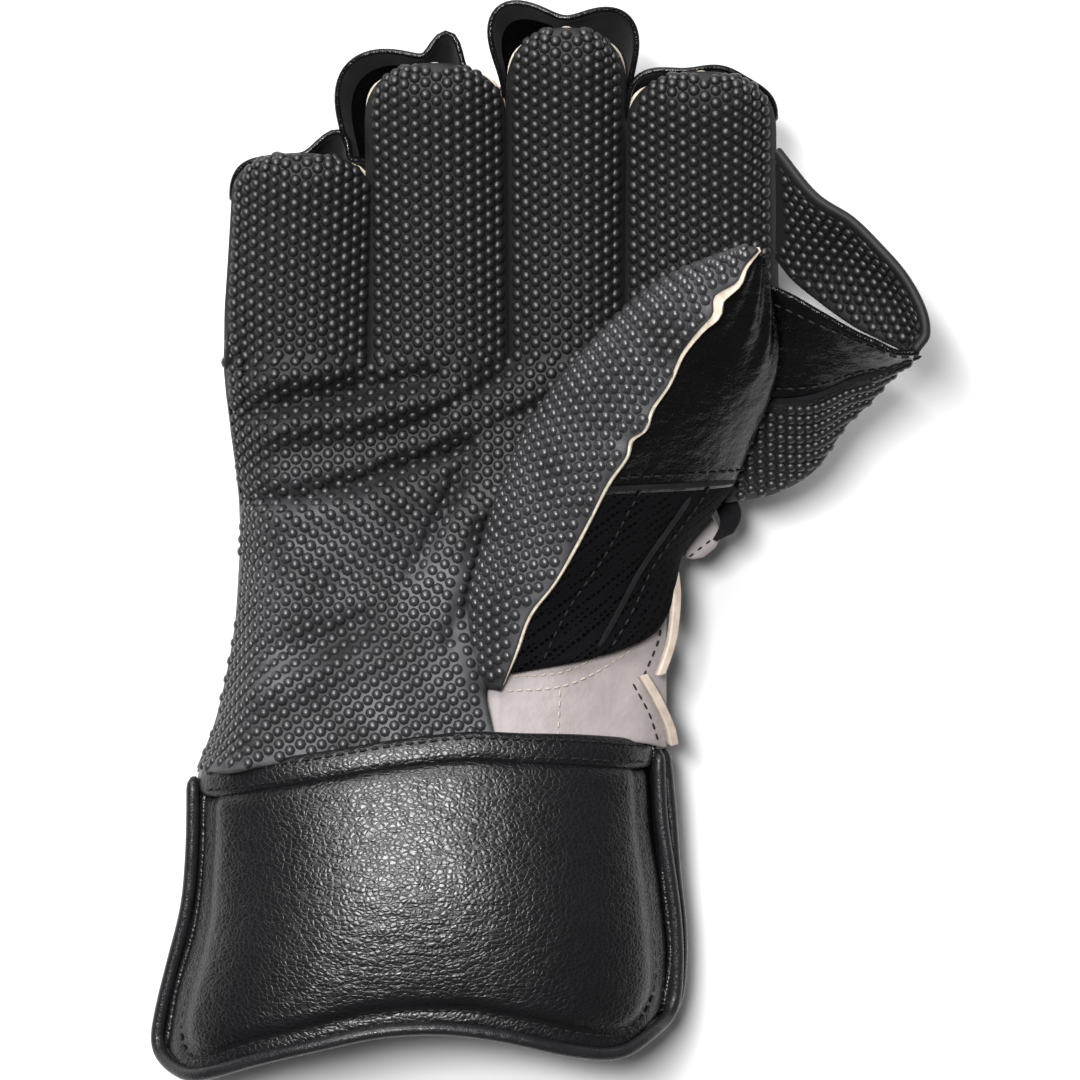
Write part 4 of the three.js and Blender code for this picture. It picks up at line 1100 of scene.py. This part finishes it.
face_a, face_s = shares(26, 110)
thumb_grid = thumb_face(face_a, mix(0.02, 1, face_s))
thumb_quads = grid_quads(26, 110)
thumb_lip = read(CUT_WAVES, "cream", face_s) * 0.001 * smooth((face_a - 0.9) / 0.1)
thumb_lip = (thumb_lip * smooth(face_s / 0.1)).ravel()
thumb_parts = thick_sheet(thumb_grid.reshape(-1, 3), thumb_quads, RUBBER_WALL, CUT_EDGE, thumb_lip)
# The thumb takes the lighter tone over nearly all its length: dust and wear, and painted light where it
# faces the light.
worn_lit_rubber = pimpled_rubber("Worn lit rubber", 0.2, 0.06, DUST_AND_SHEEN_BETWEEN, 0.0, 0.56, 0.5)
worn_lit_pimple_rubber = pimpled_rubber("Worn lit rubber pimples", 0.2, 0.06, RUBBER_DUSTY_AND_LIT, 0.7, 0.34, 0.85)
thumb_kinds = np.where(thumb_parts[2] == EDGE + 1, 1, 0)
thumb_facing = make_piece("thumb_rubber", *thumb_parts[:2], [worn_lit_rubber, backing], thumb_kinds)
thumb_spots, thumb_ways = pimple_places(thumb_grid, range(1, 110), 0.0, 0.0009)
add_pimples(thumb_facing, thumb_spots, thumb_ways, 5, worn_lit_pimple_rubber)
lay(thumb_facing, "pimpled_rubber", "thumb_facing")


def sheet_piece(name, surface, wall, finishes, edge=ROUND_EDGE):
    """A thick sheet from a grid of places. Its inner face takes the second finish, if any."""
    rows, columns = surface.shape[0] - 1, surface.shape[1] - 1
    corners, faces, kinds = thick_sheet(surface.reshape(-1, 3), grid_quads(columns, rows), wall, edge)
    return make_piece(name, corners, faces, finishes, np.where(kinds == INNER, 1, 0))


stall_leather = smooth_leather(
    "Stall leather", (0.0024, 0.0021, 0.0026, 1), (0.0036, 0.0032, 0.0039, 1), 0.22, 0.0009, 0.00002, 0.0006
)


def suede_finish():
    finish = Finish("Black suede", 0.9, 0.14)
    finish.shader.inputs["Sheen Weight"].default_value = 0.05
    finish.shader.inputs["Sheen Roughness"].default_value = 0.6
    marks = finish.handling(0.006)
    finish.colour(marks["Patches"], (0.006, 0.0056, 0.0066, 1), (0.011, 0.0104, 0.0122, 1))
    nap = finish.times(finish.noise(0.0006, 5.0), 0.0002)
    finish.bump(finish.plus(nap, finish.times(finish.noise(0.005), 0.0005)))
    return finish.material


def mesh_cloth():
    """Knitted mesh: small round openings in a slanting lattice, coloured darker inside as painted shade."""
    finish = Finish("Black mesh", 0.75, 0.06)
    lattice = node(
        finish.tree,
        "ShaderNodeTexVoronoi",
        {"Vector": finish.stretched((1, 1, 1), 0.9), "Scale": 1 / 0.0017, "Randomness": 0.16},
    ).outputs["Distance"]
    holes_and_shade = ramp(finish.tree, lattice, 0.18, 0.42, "SMOOTHSTEP")
    # Painted shade: the openings are coloured near black, for the shade inside them.
    finish.colour(holes_and_shade, (0.0008, 0.0008, 0.001, 1), (0.0056, 0.0052, 0.0062, 1))
    finish.bump(finish.plus(finish.times(holes_and_shade, 0.0006), finish.times(finish.noise(0.0005), 0.00008)))
    return finish.material


suede = suede_finish()
mesh_fabric = mesh_cloth()
cap_a, cap_v = shares(40, 40)
cap_s = mix(THUMB_CAP_SHARE, 0.99, cap_v)
cap_grid = behind_edge(cap_a, cap_s, thumb_side(cap_a, cap_s))
gathers = np.sin(cap_a * 38 + 3 * np.sin(cap_v * 5)) * smooth((cap_v - 0.35) / 0.5) * np.sin(np.pi * cap_a)
cap_grid = cap_grid + grid_way(cap_grid) * (GATHER_DEPTH * gathers)[..., None]
thumb_cap = sheet_piece("thumb_leather_cap", cap_grid, LEATHER_WALL, [stall_leather, suede])
lay(thumb_cap, "black_leather", "thumb_cap")
panel_a, panel_v = shares(30, 30)
panel_s = mix(0.05, THUMB_CAP_SHARE - GAP / THUMB_LENGTH, panel_v)
panel_grid = behind_edge(panel_a, panel_s, thumb_side(panel_a, panel_s))
thumb_panel = sheet_piece("thumb_mesh_panel", panel_grid, LEATHER_WALL, [mesh_fabric])
lay(thumb_panel, "black_mesh", "thumb_side_panel")
under_a, under_v = shares(24, 36)
under_grid = thumb_below(under_a, mix(0.36, 0.98, under_v))
thumb_under = sheet_piece("thumb_leather_back", under_grid, LEATHER_WALL, [stall_leather, suede])
lay(thumb_under, "black_leather", "thumb_back")

# Gusset
# Soft white leather that fills the wrist between the palm, the thumb and the back of the hand.
# It is sewn to all three and to the cuff, and runs on a little under the palm's edge.
GUSSET = {
    "at": [0, 0.35, 0.6, 0.82, 1],
    "x": [-0.08, 0.03, 0.12, 0.195, 0.228],
    "top": [0.19, 0.22, 0.25, 0.31, 0.4],
    "face": [1.12, 1.1, 1.0, 0.88, 0.76],
}


def gusset_face(a, v):
    low = cuff_top(mix(0.6, 1, a)) - 4 * GAP
    high = WRIST_Y + HAND_LENGTH * read(GUSSET, "top", a)
    z = PALM_HEIGHT * read(GUSSET, "face", a) - 8 * GAP * v
    hidden = np.minimum(a, 0)
    x = HAND_WIDTH * read(GUSSET, "x", a) + 0.08 * hidden
    return places(x, mix(low, high, v), z + 0.04 * hidden)


def white_leather():
    finish = Finish("White leather", 0.55, 0.5)
    marks = finish.handling(0.009)
    finish.colour(marks["Patches"], (0.355, 0.314, 0.31, 1), (0.305, 0.268, 0.265, 1))
    pores = finish.times(finish.noise(0.0006), 0.00005)
    finish.bump(finish.plus(pores, finish.times(finish.noise(0.006), 0.0006)))
    return finish.material


white = white_leather()
gusset_a, gusset_v = shares(40, 24)
gusset_grid = gusset_face(mix(-0.08, 1, gusset_a), gusset_v)
gusset = sheet_piece("wrist_gusset_leather", gusset_grid, LEATHER_WALL, [white])
lay(gusset, "white_leather", "wrist_gusset")

# Back of the hand
# Padded black leather, rounded at its sides and flattened where the glove lies on it. It is
# sewn to the palm rubber along its outer side and to the finger stalls and the cuff at its ends.
BACK_WALL = 0.0032


def hand_underside(a, t):
    left = HAND_WIDTH * read(HAND, "left", t)
    right = HAND_WIDTH * read(HAND, "side", t)
    q = np.abs(1 - 2 * a)
    seam = PALM_HEIGHT * mix(read(HAND, "seam", t), 0.75, (1 - a) ** 3) - GAP
    z = np.maximum(0, seam * (1 - (1 - q**3) ** (1 / 3)) - BACK_FLAT * (1 - q**3))
    return places(mix(right, left, a), mix(cuff_top(mix(1, 0, a)) + GAP, FORK_Y, t), z)


back_a, back_t = shares(72, 50)
back_surface = hand_underside(back_a, back_t)
hand_back = sheet_piece("hand_back_leather", back_surface, BACK_WALL, [stall_leather, suede])
lay(hand_back, "black_leather", "hand_back")

# Finger stalls
# The back of each finger is suede, closed over the tip by a leather cap whose spare leather is
# pinched into ears beside the facing. All are sewn along the facing's edge.
STALL_DEPTH = 0.028
INSET = 2 * GAP  # of a stall inside its facing, on each side
STALL_ROUND = 2.6  # the section of a stall: 2 is an ellipse and more is squarer
CAP_COLUMNS, CAP_ROWS = 60, 20
CAP_CLOSE = 0.97  # how far down its bowl a cap is drawn before its last leather is gathered
# Ears of each cap: the side of the tip that it stands out on, how wide it is (both in degrees)
# and how far it stands out in shares of the finger's crown.
EARS = {
    "little": [(24, 12, 0.95), (-50, 22, 0.14), (72, 23, 0.8)],
    "ring": [(-54, 36, 1.4), (7, 10, 1.05), (72, 21, 0.7)],
    "middle": [(-40, 28, 1.45), (38, 31, 1.1)],
    "index": [(-42, 25, 0.4), (12, 20, 0.25)],
}


def stall_rim(finger, t):
    return finger_height(finger, t) - finger_crown(t) - RUBBER_WALL * 0.6


def stall_depth(finger, t):
    return STALL_DEPTH * mix(1, 0.62, t / finger["stall"])


def stall_below(finger, a, t):
    q = 1 - 2 * a
    bowl = (1 - np.abs(q) ** STALL_ROUND) ** (1 / STALL_ROUND)
    centre, half = finger_middle(finger, t)
    length = FINGER_LENGTH * finger["reach"]
    y = FORK_Y + GAP - 5 * GAP + (length + 5 * GAP) * t
    return places(centre + (half - INSET) * q, y, stall_rim(finger, t) - stall_depth(finger, t) * bowl)


def tip_cap(finger, a, v):
    angle = mix(90, -90, a)
    turn = np.radians(angle)
    down = v * np.pi / 2
    out = 0
    for side, width, reach in EARS[finger["name"]]:
        out = out + FINGER_CROWN * reach * np.exp(-(((angle - side) / width) ** 2))
    spread = np.cos(down) ** (2 / STALL_ROUND)
    flare = out * (1 - v) ** 2
    stall = finger["stall"]
    centre, half = finger_middle(finger, stall)
    x = centre + ((half - INSET) * spread + flare) * np.sin(turn)
    length = FINGER_LENGTH * finger["reach"]
    ahead = np.abs(np.cos(turn)) ** 0.75
    run = (length * (1 - stall) - 6 * GAP) * spread + flare
    sink = np.sin(down) ** (2 / STALL_ROUND)
    top = stall_rim(finger, mix(stall, 1, spread * ahead))
    y = FORK_Y + 2 * GAP + length * stall + run * ahead
    return places(x, y, top - stall_depth(finger, stall) * sink - GAP)


for finger in FINGERS:
    a, t = shares(36, 30)
    stall_surface = stall_below(finger, a, t * finger["stall"])
    stall = sheet_piece(f"{finger['name']}_stall", stall_surface, LEATHER_WALL, [suede])
    lay(stall, "black_suede", f"{finger['name']}_stall_back")
    a, v = shares(CAP_COLUMNS, CAP_ROWS)
    cap_surface = tip_cap(finger, 1 - a, np.minimum(v, CAP_CLOSE))
    cap_surface = cap_surface + grid_way(cap_surface) * LEATHER_WALL
    cap = sheet_piece(f"{finger['name']}_cap", cap_surface, LEATHER_WALL, [stall_leather, suede])
    # Inside, the side towards the little finger is leather and the rest is suede.
    quads = CAP_COLUMNS * CAP_ROWS
    kind = np.zeros(len(cap.data.polygons), np.int32)
    cap.data.polygons.foreach_get("material_index", kind)
    row, column = np.divmod(np.arange(quads), CAP_COLUMNS)
    kind[quads:2 * quads] = np.where((row > 2) & (column < 26), 0, 1)
    cap.data.polygons.foreach_set("material_index", kind)
    lay(cap, "black_leather", f"{finger['name']}_tip_cap")

# Web
# A pimpled band runs from the index finger to an outer fold, and a leather panel with a
# pimpled lower part runs from the fold back to the thumb, so the web stands as a pocket.
WEB_REACH = 0.100
WEB_SEAM = 0.52
WEB_BAND = {
    "at": np.linspace(0, 1, 8),
    "upper": [
        (0.635, 1.025, 0.62), (0.724, 0.909, 0.66), (0.818, 0.844, 0.68), (0.889, 0.772, 0.7),
        (0.956, 0.691, 0.72), (1.002, 0.602, 0.735), (1.012, 0.532, 0.74), (0.985, 0.488, 0.74),
    ],
    "lower": [
        (0.65, 0.761, 0.4), (0.686, 0.706, 0.43), (0.736, 0.656, 0.46), (0.786, 0.611, 0.5),
        (0.846, 0.566, 0.54), (0.905, 0.533, 0.58), (0.966, 0.504, 0.61), (0.982, 0.484, 0.62),
    ],
}
WEB_PANEL = {
    "at": np.linspace(0, 1, 7),
    "upper": [
        (0.98, 0.478, 0.74), (0.92, 0.48, 0.745), (0.86, 0.51, 0.75), (0.8, 0.538, 0.755),
        (0.72, 0.585, 0.76), (0.647, 0.628, 0.76), (0.56, 0.668, 0.76),
    ],
    "lower": [
        (0.985, 0.473, 0.62), (0.928, 0.426, 0.57), (0.875, 0.362, 0.51), (0.815, 0.302, 0.46),
        (0.737, 0.188, 0.4), (0.63, 0.125, 0.37), (0.5, 0.1, 0.35),
    ],
}


def web_face(table, a, v):
    return mix(read(table, "lower", a), read(table, "upper", a), v[..., None]) * WEB_REACH


band_a, band_v = shares(64, 26)
band_grid = web_face(WEB_BAND, band_a, band_v)
band_bulge = 8 * GAP * np.sin(np.pi * band_a) * np.sin(np.pi * band_v)
band_grid = band_grid + band_bulge[..., None] * np.array([1, 1, -1])
band_grid = band_grid + grid_way(band_grid) * RUBBER_WALL
web_band = sheet_piece("web_rubber_band", band_grid, RUBBER_WALL, [rubber])
band_spots, band_ways = pimple_places(band_grid, range(1, 40), 0.0, 0.0024)
add_pimples(web_band, band_spots, band_ways, 7, pimple_rubber)
lay(web_band, "pimpled_rubber", "web_band")
top_a, top_v = shares(56, 16)
top_grid = web_face(WEB_PANEL, 1 - top_a, mix(1 - WEB_SEAM, 1, top_v))
folds = np.sin(top_a * 17 + 4 * top_v) * np.sin(np.pi * top_v) * np.sin(np.pi * top_a)
top_grid = top_grid + grid_way(top_grid) * (0.0004 * folds)[..., None]
web_top = sheet_piece("web_leather_panel", top_grid, LEATHER_WALL, [stall_leather, suede])
lay(web_top, "black_leather", "web_panel")
low_a, low_v = shares(56, 16)
low_grid = web_face(WEB_PANEL, 1 - low_a, mix(0, 1 - WEB_SEAM - 0.006, low_v))
web_low = sheet_piece("web_rubber_panel", low_grid, LEATHER_WALL, [rubber])
low_spots, low_ways = pimple_places(low_grid, range(1, 40), 0.0, 0.002)
add_pimples(web_low, low_spots, low_ways, 9, pimple_rubber)
lay(web_low, "pimpled_rubber", "web_lower_panel")

# Bindings, tab and keeper
# Folded cream binding strips are sewn along the gusset's outer edge. The wrist strap's white
# leather tab and its black suede keeper show beside the thumb, sewn to the hand's side.
BINDING_WALL = 0.0018
BINDING_SHOWN = 0.0022  # how much of a strip's width stands clear of the seam
TAB_LENGTH = 0.014
TAB_WIDTH = 0.0125
KEEPER_LENGTH = 0.005
TAB_SHARE = 0.54  # how far up the hand the tab is sewn
TAB_DOWN = math.radians(-52)  # the way that the tab hangs
UPPER_BINDING = {
    "at": np.linspace(0, 1, 4),
    "place": [(0.237, 0.43, 0.84), (0.24, 0.36, 0.85), (0.232, 0.25, 0.87), (0.212, 0.16, 0.92)],
}
LOWER_BINDING = {
    "at": np.linspace(0, 1, 4),
    "place": [(0.18, 0.155, 0.94), (0.206, 0.09, 0.885), (0.228, 0.02, 0.81), (0.236, -0.03, 0.76)],
}


def binding_face(table, a, v):
    p = read(table, "place", v)
    middle = places(p[..., 0] * HAND_WIDTH, WRIST_Y + p[..., 1] * HAND_LENGTH, p[..., 2] * PALM_HEIGHT)
    side = (2 * a - 1) * BINDING_SHOWN / 2
    return middle + side[..., None] * np.array([0.8, 0.2, -0.6])


def cream_binding():
    finish = Finish("Cream binding", 0.65, 0.35)
    marks = finish.handling(0.004)
    finish.colour(marks["Patches"], (0.66, 0.56, 0.47, 1), (0.5, 0.41, 0.34, 1))
    finish.bump(finish.times(finish.noise(0.0006), 0.00008))
    return finish.material


cream = cream_binding()
for name, table in (("upper_binding", UPPER_BINDING), ("lower_binding", LOWER_BINDING)):
    a, v = shares(8, 40)
    strip = sheet_piece(f"{name}_strip", binding_face(table, a, v), BINDING_WALL, [cream], CUT_EDGE)
    lay(strip, "cream_binding", name)

tab_root = np.array([
    HAND_WIDTH * float(read(HAND, "side", TAB_SHARE)) - LEATHER_WALL,
    WRIST_Y + HAND_LENGTH * TAB_SHARE,
    PALM_HEIGHT * 0.5,
])


def tab_rise(share):
    return TAB_LENGTH * 0.3 * np.sin(share * np.pi * 0.6)


tab_a, tab_v = shares(14, 14)
tab_aside = TAB_WIDTH * (tab_v - 0.5) * (1 - 0.9 * tab_a**6) ** 0.5
tab_ahead = TAB_LENGTH * tab_a
tab_x = tab_ahead * math.cos(TAB_DOWN) - tab_aside * math.sin(TAB_DOWN)
tab_y = tab_ahead * math.sin(TAB_DOWN) + tab_aside * math.cos(TAB_DOWN)
tab_grid = places(tab_x, tab_y, tab_rise(tab_a)) + tab_root + np.array([-0.001, 0.006, 0.005])
tab = sheet_piece("wrist_tab", tab_grid, LEATHER_WALL, [white])
lay(tab, "white_leather", "strap_tab")
keeper_share = 1 + ((tab_a - 0.45) * KEEPER_LENGTH) / TAB_LENGTH
keeper_z = tab_rise(keeper_share) + LEATHER_WALL + 2 * GAP
keeper_x = TAB_LENGTH * keeper_share + 0.002 * np.sin(np.pi * tab_v) - 0.001
keeper_y = TAB_WIDTH * 0.8 * (tab_v - 0.2) + 0.002 * (tab_a - 0.5)
keeper_grid = places(keeper_x, keeper_y, keeper_z) + tab_root + np.array([-0.0015, 0.001, 0.005])
keeper = sheet_piece("wrist_keeper", keeper_grid, LEATHER_WALL, [suede])
lay(keeper, "black_suede", "strap_keeper")

# Stitch rows and seam ridges
# Waxed thread holds every seam: black on the leather and rubber, cream on the gusset. On the
# thumb and the web the seam allowance stands up as a soft ridge under the stitches.
STITCH_STEP = 0.0031
STITCH_LENGTH = 0.0022
THREAD_WIDTH = 0.0007
RIDGE_RADIUS = 0.0008

stitch_tree, given, ends = geometry_tree(
    "Stitches",
    [
        ("Stitch", "NodeSocketObject"),
        ("Step", "NodeSocketFloat"),
        ("Width", "NodeSocketFloat"),
        ("Length", "NodeSocketFloat"),
        ("Material", "NodeSocketMaterial"),
    ],
)
seam_line = node(stitch_tree, "GeometryNodeMeshToCurve", {0: given.outputs["Geometry"]})
seam_spots = node(
    stitch_tree,
    "GeometryNodeCurveToPoints",
    {"Curve": seam_line.outputs[0], "Length": given.outputs["Step"]},
    mode="LENGTH",
)
tangent = seam_spots.outputs["Tangent"]
lengthwise = node(stitch_tree, "FunctionNodeAlignRotationToVector", {"Vector": tangent}, axis="Z")
thread_size = node(
    stitch_tree,
    "ShaderNodeCombineXYZ",
    {"X": given.outputs["Width"], "Y": given.outputs["Width"], "Z": given.outputs["Length"]},
)
stitch_shape = node(stitch_tree, "GeometryNodeObjectInfo", {"Object": given.outputs["Stitch"]})
sewn_stitches = node(
    stitch_tree,
    "GeometryNodeInstanceOnPoints",
    {
        "Points": seam_spots.outputs["Points"],
        "Instance": stitch_shape.outputs["Geometry"],
        "Rotation": lengthwise.outputs[0],
        "Scale": thread_size.outputs[0],
    },
)
finish_tree(stitch_tree, sewn_stitches.outputs[0], given, ends)
stitch_form = turned_shape(
    "stitch_form", [(0, -0.5), (0.34, -0.42), (0.5, -0.2), (0.5, 0.2), (0.34, 0.42), (0, 0.5)], 6
)


def thread_finish(name, colour):
    finish = Finish(name, 0.6, 0.3)
    finish.shader.inputs["Base Color"].default_value = colour
    finish.bump(finish.times(finish.noise(0.0003), 0.00006))
    return finish.material


def add_stitches(piece, routes, thread, step=STITCH_STEP, width=THREAD_WIDTH):
    """Sews rows of stitches on a piece, each along its own route."""
    corners, edges = [], []
    for route in routes:
        first = len(corners)
        corners += route.tolist()
        edges += [(first + k, first + k + 1) for k in range(len(route) - 1)]
    source = plain_object("seams", corners, edges, [])
    length = STITCH_LENGTH * step / STITCH_STEP
    values = {"Stitch": stitch_form, "Step": step, "Width": width, "Length": length, "Material": thread}
    add_mesh(piece, grow_from(source, stitch_tree, values))


def raised(grid, rise):
    """A grid moved out along the way it faces."""
    return grid + grid_way(grid) * rise


def over(grid, stops, rise=0.0003):
    """A route over a sheet through places given in millimetres, as seen from above."""
    route = along(np.array([(x, y, 0) for x, y in stops]) * 0.001, 0.001)
    spots = grid.reshape(-1, 3)
    away = np.hypot(route[:, None, 0] - spots[:, 0], route[:, None, 1] - spots[:, 1])
    near = np.argsort(away, axis=1)[:, :4]
    weight = 1 / (np.take_along_axis(away, near, 1) + 1e-5)
    route[:, 2] = (spots[near, 2] * weight).sum(axis=1) / weight.sum(axis=1) + rise
    return route


def over_cuff(stops, rise, sunk):
    """A route over the cuff's front, in its shares across and along, sunk into the seam or not."""
    route = along([(a * CUFF_WIDTH, v * CUFF_LENGTH, 0) for a, v in stops], 0.001)
    a, v = route[:, 0] / CUFF_WIDTH, route[:, 1] / CUFF_LENGTH
    across = cuff_face(a + 0.003, v) - cuff_face(a - 0.003, v)
    up = cuff_face(a, v - 0.003) - cuff_face(a, v + 0.003)
    way = np.cross(across, up)
    way /= np.linalg.norm(way, axis=1, keepdims=True)
    return cuff_face(a, v) + way * (rise - sewn_down(a, v) * sunk)[:, None]


def add_ridge(piece, route, finish):
    """A seam allowance that stands up as a soft ridge along a route."""
    ridge = rolled_cord("ridge", route[::3], RIDGE_RADIUS, finish, 8)
    mesh = ridge.data
    bpy.data.objects.remove(ridge)
    add_mesh(piece, mesh)


black_thread = thread_finish("Black thread", (0.009, 0.0087, 0.01, 1))
cream_thread = thread_finish("Cream thread", (0.56, 0.48, 0.4, 1))
side_a, end_v = SEAM_INSET / CUFF_WIDTH, 1 - SEAM_INSET / CUFF_LENGTH
half_seam = [
    (side_a, 0.14), (side_a, 0.4), (side_a, 0.7), (side_a, end_v - 0.06), (side_a + 0.01, end_v - 0.018),
    (side_a + 0.04, end_v), (0.2, end_v), (0.35, end_v), (0.5, end_v),
]
cuff_seam = half_seam + [(1 - a, v) for a, v in half_seam[-2::-1]]
add_stitches(front_panel, [over_cuff(cuff_seam, 0.0002, 1.0)], black_thread)
low_row, high_row = yoke_end - 0.0017 / CUFF_LENGTH, 0.0014 / CUFF_LENGTH
yoke_rows = []
for v in (low_row, high_row):
    yoke_rows.append(over_cuff([(a, v) for a in (0.03, 0.27, 0.5, 0.73, 0.97)], 0.0001, 0.0))
add_stitches(yoke, yoke_rows, black_thread)
band_raised = raised(band_grid, 0.0002)
add_stitches(web_band, [band_raised[24], band_raised[2]], black_thread)
top_raised = raised(top_grid, 0.0002)
add_stitches(web_top, [top_raised[14], top_raised[2]], black_thread)
add_ridge(web_top, top_grid[0], suede)
add_stitches(web_low, [raised(low_grid, 0.0002)[15]], black_thread)
cap_raised = raised(cap_grid, 0.0002)
add_ridge(thumb_cap, cap_grid[1], suede)
add_stitches(thumb_cap, [cap_raised[3]], black_thread)
panel_raised = raised(panel_grid, 0.0002)
add_ridge(thumb_panel, panel_grid[2:, 9], suede)
add_stitches(thumb_panel, [panel_raised[2:, 11], panel_raised[2:, 3]], black_thread)
gusset_rows = [
    over(gusset_grid, [(-8.8, -36.5), (5.3, -35.5), (14, -32), (22, -27.5)]),
    over(gusset_grid, [(-8.0, -40.3), (5.3, -39.2), (14, -36), (24, -30)]),
    over(gusset_grid, [(5.3, -41), (4.8, -52)]),
]
add_stitches(gusset, gusset_rows, cream_thread, 0.0024, 0.0005)
dark_rows = [
    over(gusset_grid, [(33.4, -16), (32.3, -26), (28.2, -36)]),
    over(gusset_grid, [(25.5, -39.5), (29.5, -47), (31.5, -53)]),
]
add_stitches(gusset, dark_rows, black_thread, 0.0028, 0.0006)
tab_raised = raised(tab_grid, 0.0002)
add_stitches(tab, [tab_raised[1:14, 12]], black_thread, 0.0022, 0.0005)

# Floor, light and camera
# The glove lies palm up on a plain pale floor, under a narrow soft light high overhead and a
# broad weaker one beyond its fingertips. The camera looks straight down on it.
FLOOR_Z = -0.0002
STUDIO_GLOW = 0.11
CAMERA_HEIGHT = 1.1
FOCAL_PIXELS = 3956.4  # the camera's focal length in pixels of the frame
FRAME_PIXELS = 1080
SENSOR_WIDTH = 36

floor_corners = [(x, y, FLOOR_Z) for x, y in ((-3, -3), (3, -3), (3, 3), (-3, 3))]
floor = plain_object("floor", floor_corners, [], [(0, 1, 2, 3)])
floor_finish = bpy.data.materials.new("Pale floor")
floor_finish.use_nodes = True
floor_shader = floor_finish.node_tree.nodes["Principled BSDF"]
floor_shader.inputs["Base Color"].default_value = (0.9, 0.9, 0.9, 1)
floor_shader.inputs["Roughness"].default_value = 0.9
floor.data.materials.append(floor_finish)

world = bpy.data.worlds.new("studio")
world.use_nodes = True
glow = world.node_tree.nodes["Background"]
glow.inputs["Color"].default_value = (1, 1, 1, 1)
glow.inputs["Strength"].default_value = STUDIO_GLOW
bpy.context.scene.world = world


def soft_light(name, place, size, power):
    """A rectangular light that faces the middle of the glove."""
    lamp = bpy.data.lights.new(name, "AREA")
    lamp.shape = "RECTANGLE"
    lamp.size, lamp.size_y = size
    lamp.energy = power
    holder = bpy.data.objects.new(name, lamp)
    holder.location = place
    aim = -np.array(place) / np.linalg.norm(place)
    tilt = math.atan2(math.hypot(aim[0], aim[1]), -aim[2])
    holder.rotation_euler = (tilt, 0, math.atan2(-aim[0], aim[1]))
    bpy.context.scene.collection.objects.link(holder)


soft_light("overhead", (-0.25, 0.22, 1.55), (0.2, 0.42), 26)
soft_light("key", (-0.3, 0.8, 0.95), (0.9, 0.6), 12)

camera = bpy.data.objects.new("camera", bpy.data.cameras.new("camera"))
camera.location = (0, 0, CAMERA_HEIGHT)
camera.data.sensor_width = SENSOR_WIDTH
camera.data.lens = SENSOR_WIDTH * FOCAL_PIXELS / FRAME_PIXELS
bpy.context.scene.collection.objects.link(camera)
bpy.context.scene.camera = camera
bpy.context.scene.view_settings.view_transform = "Standard"
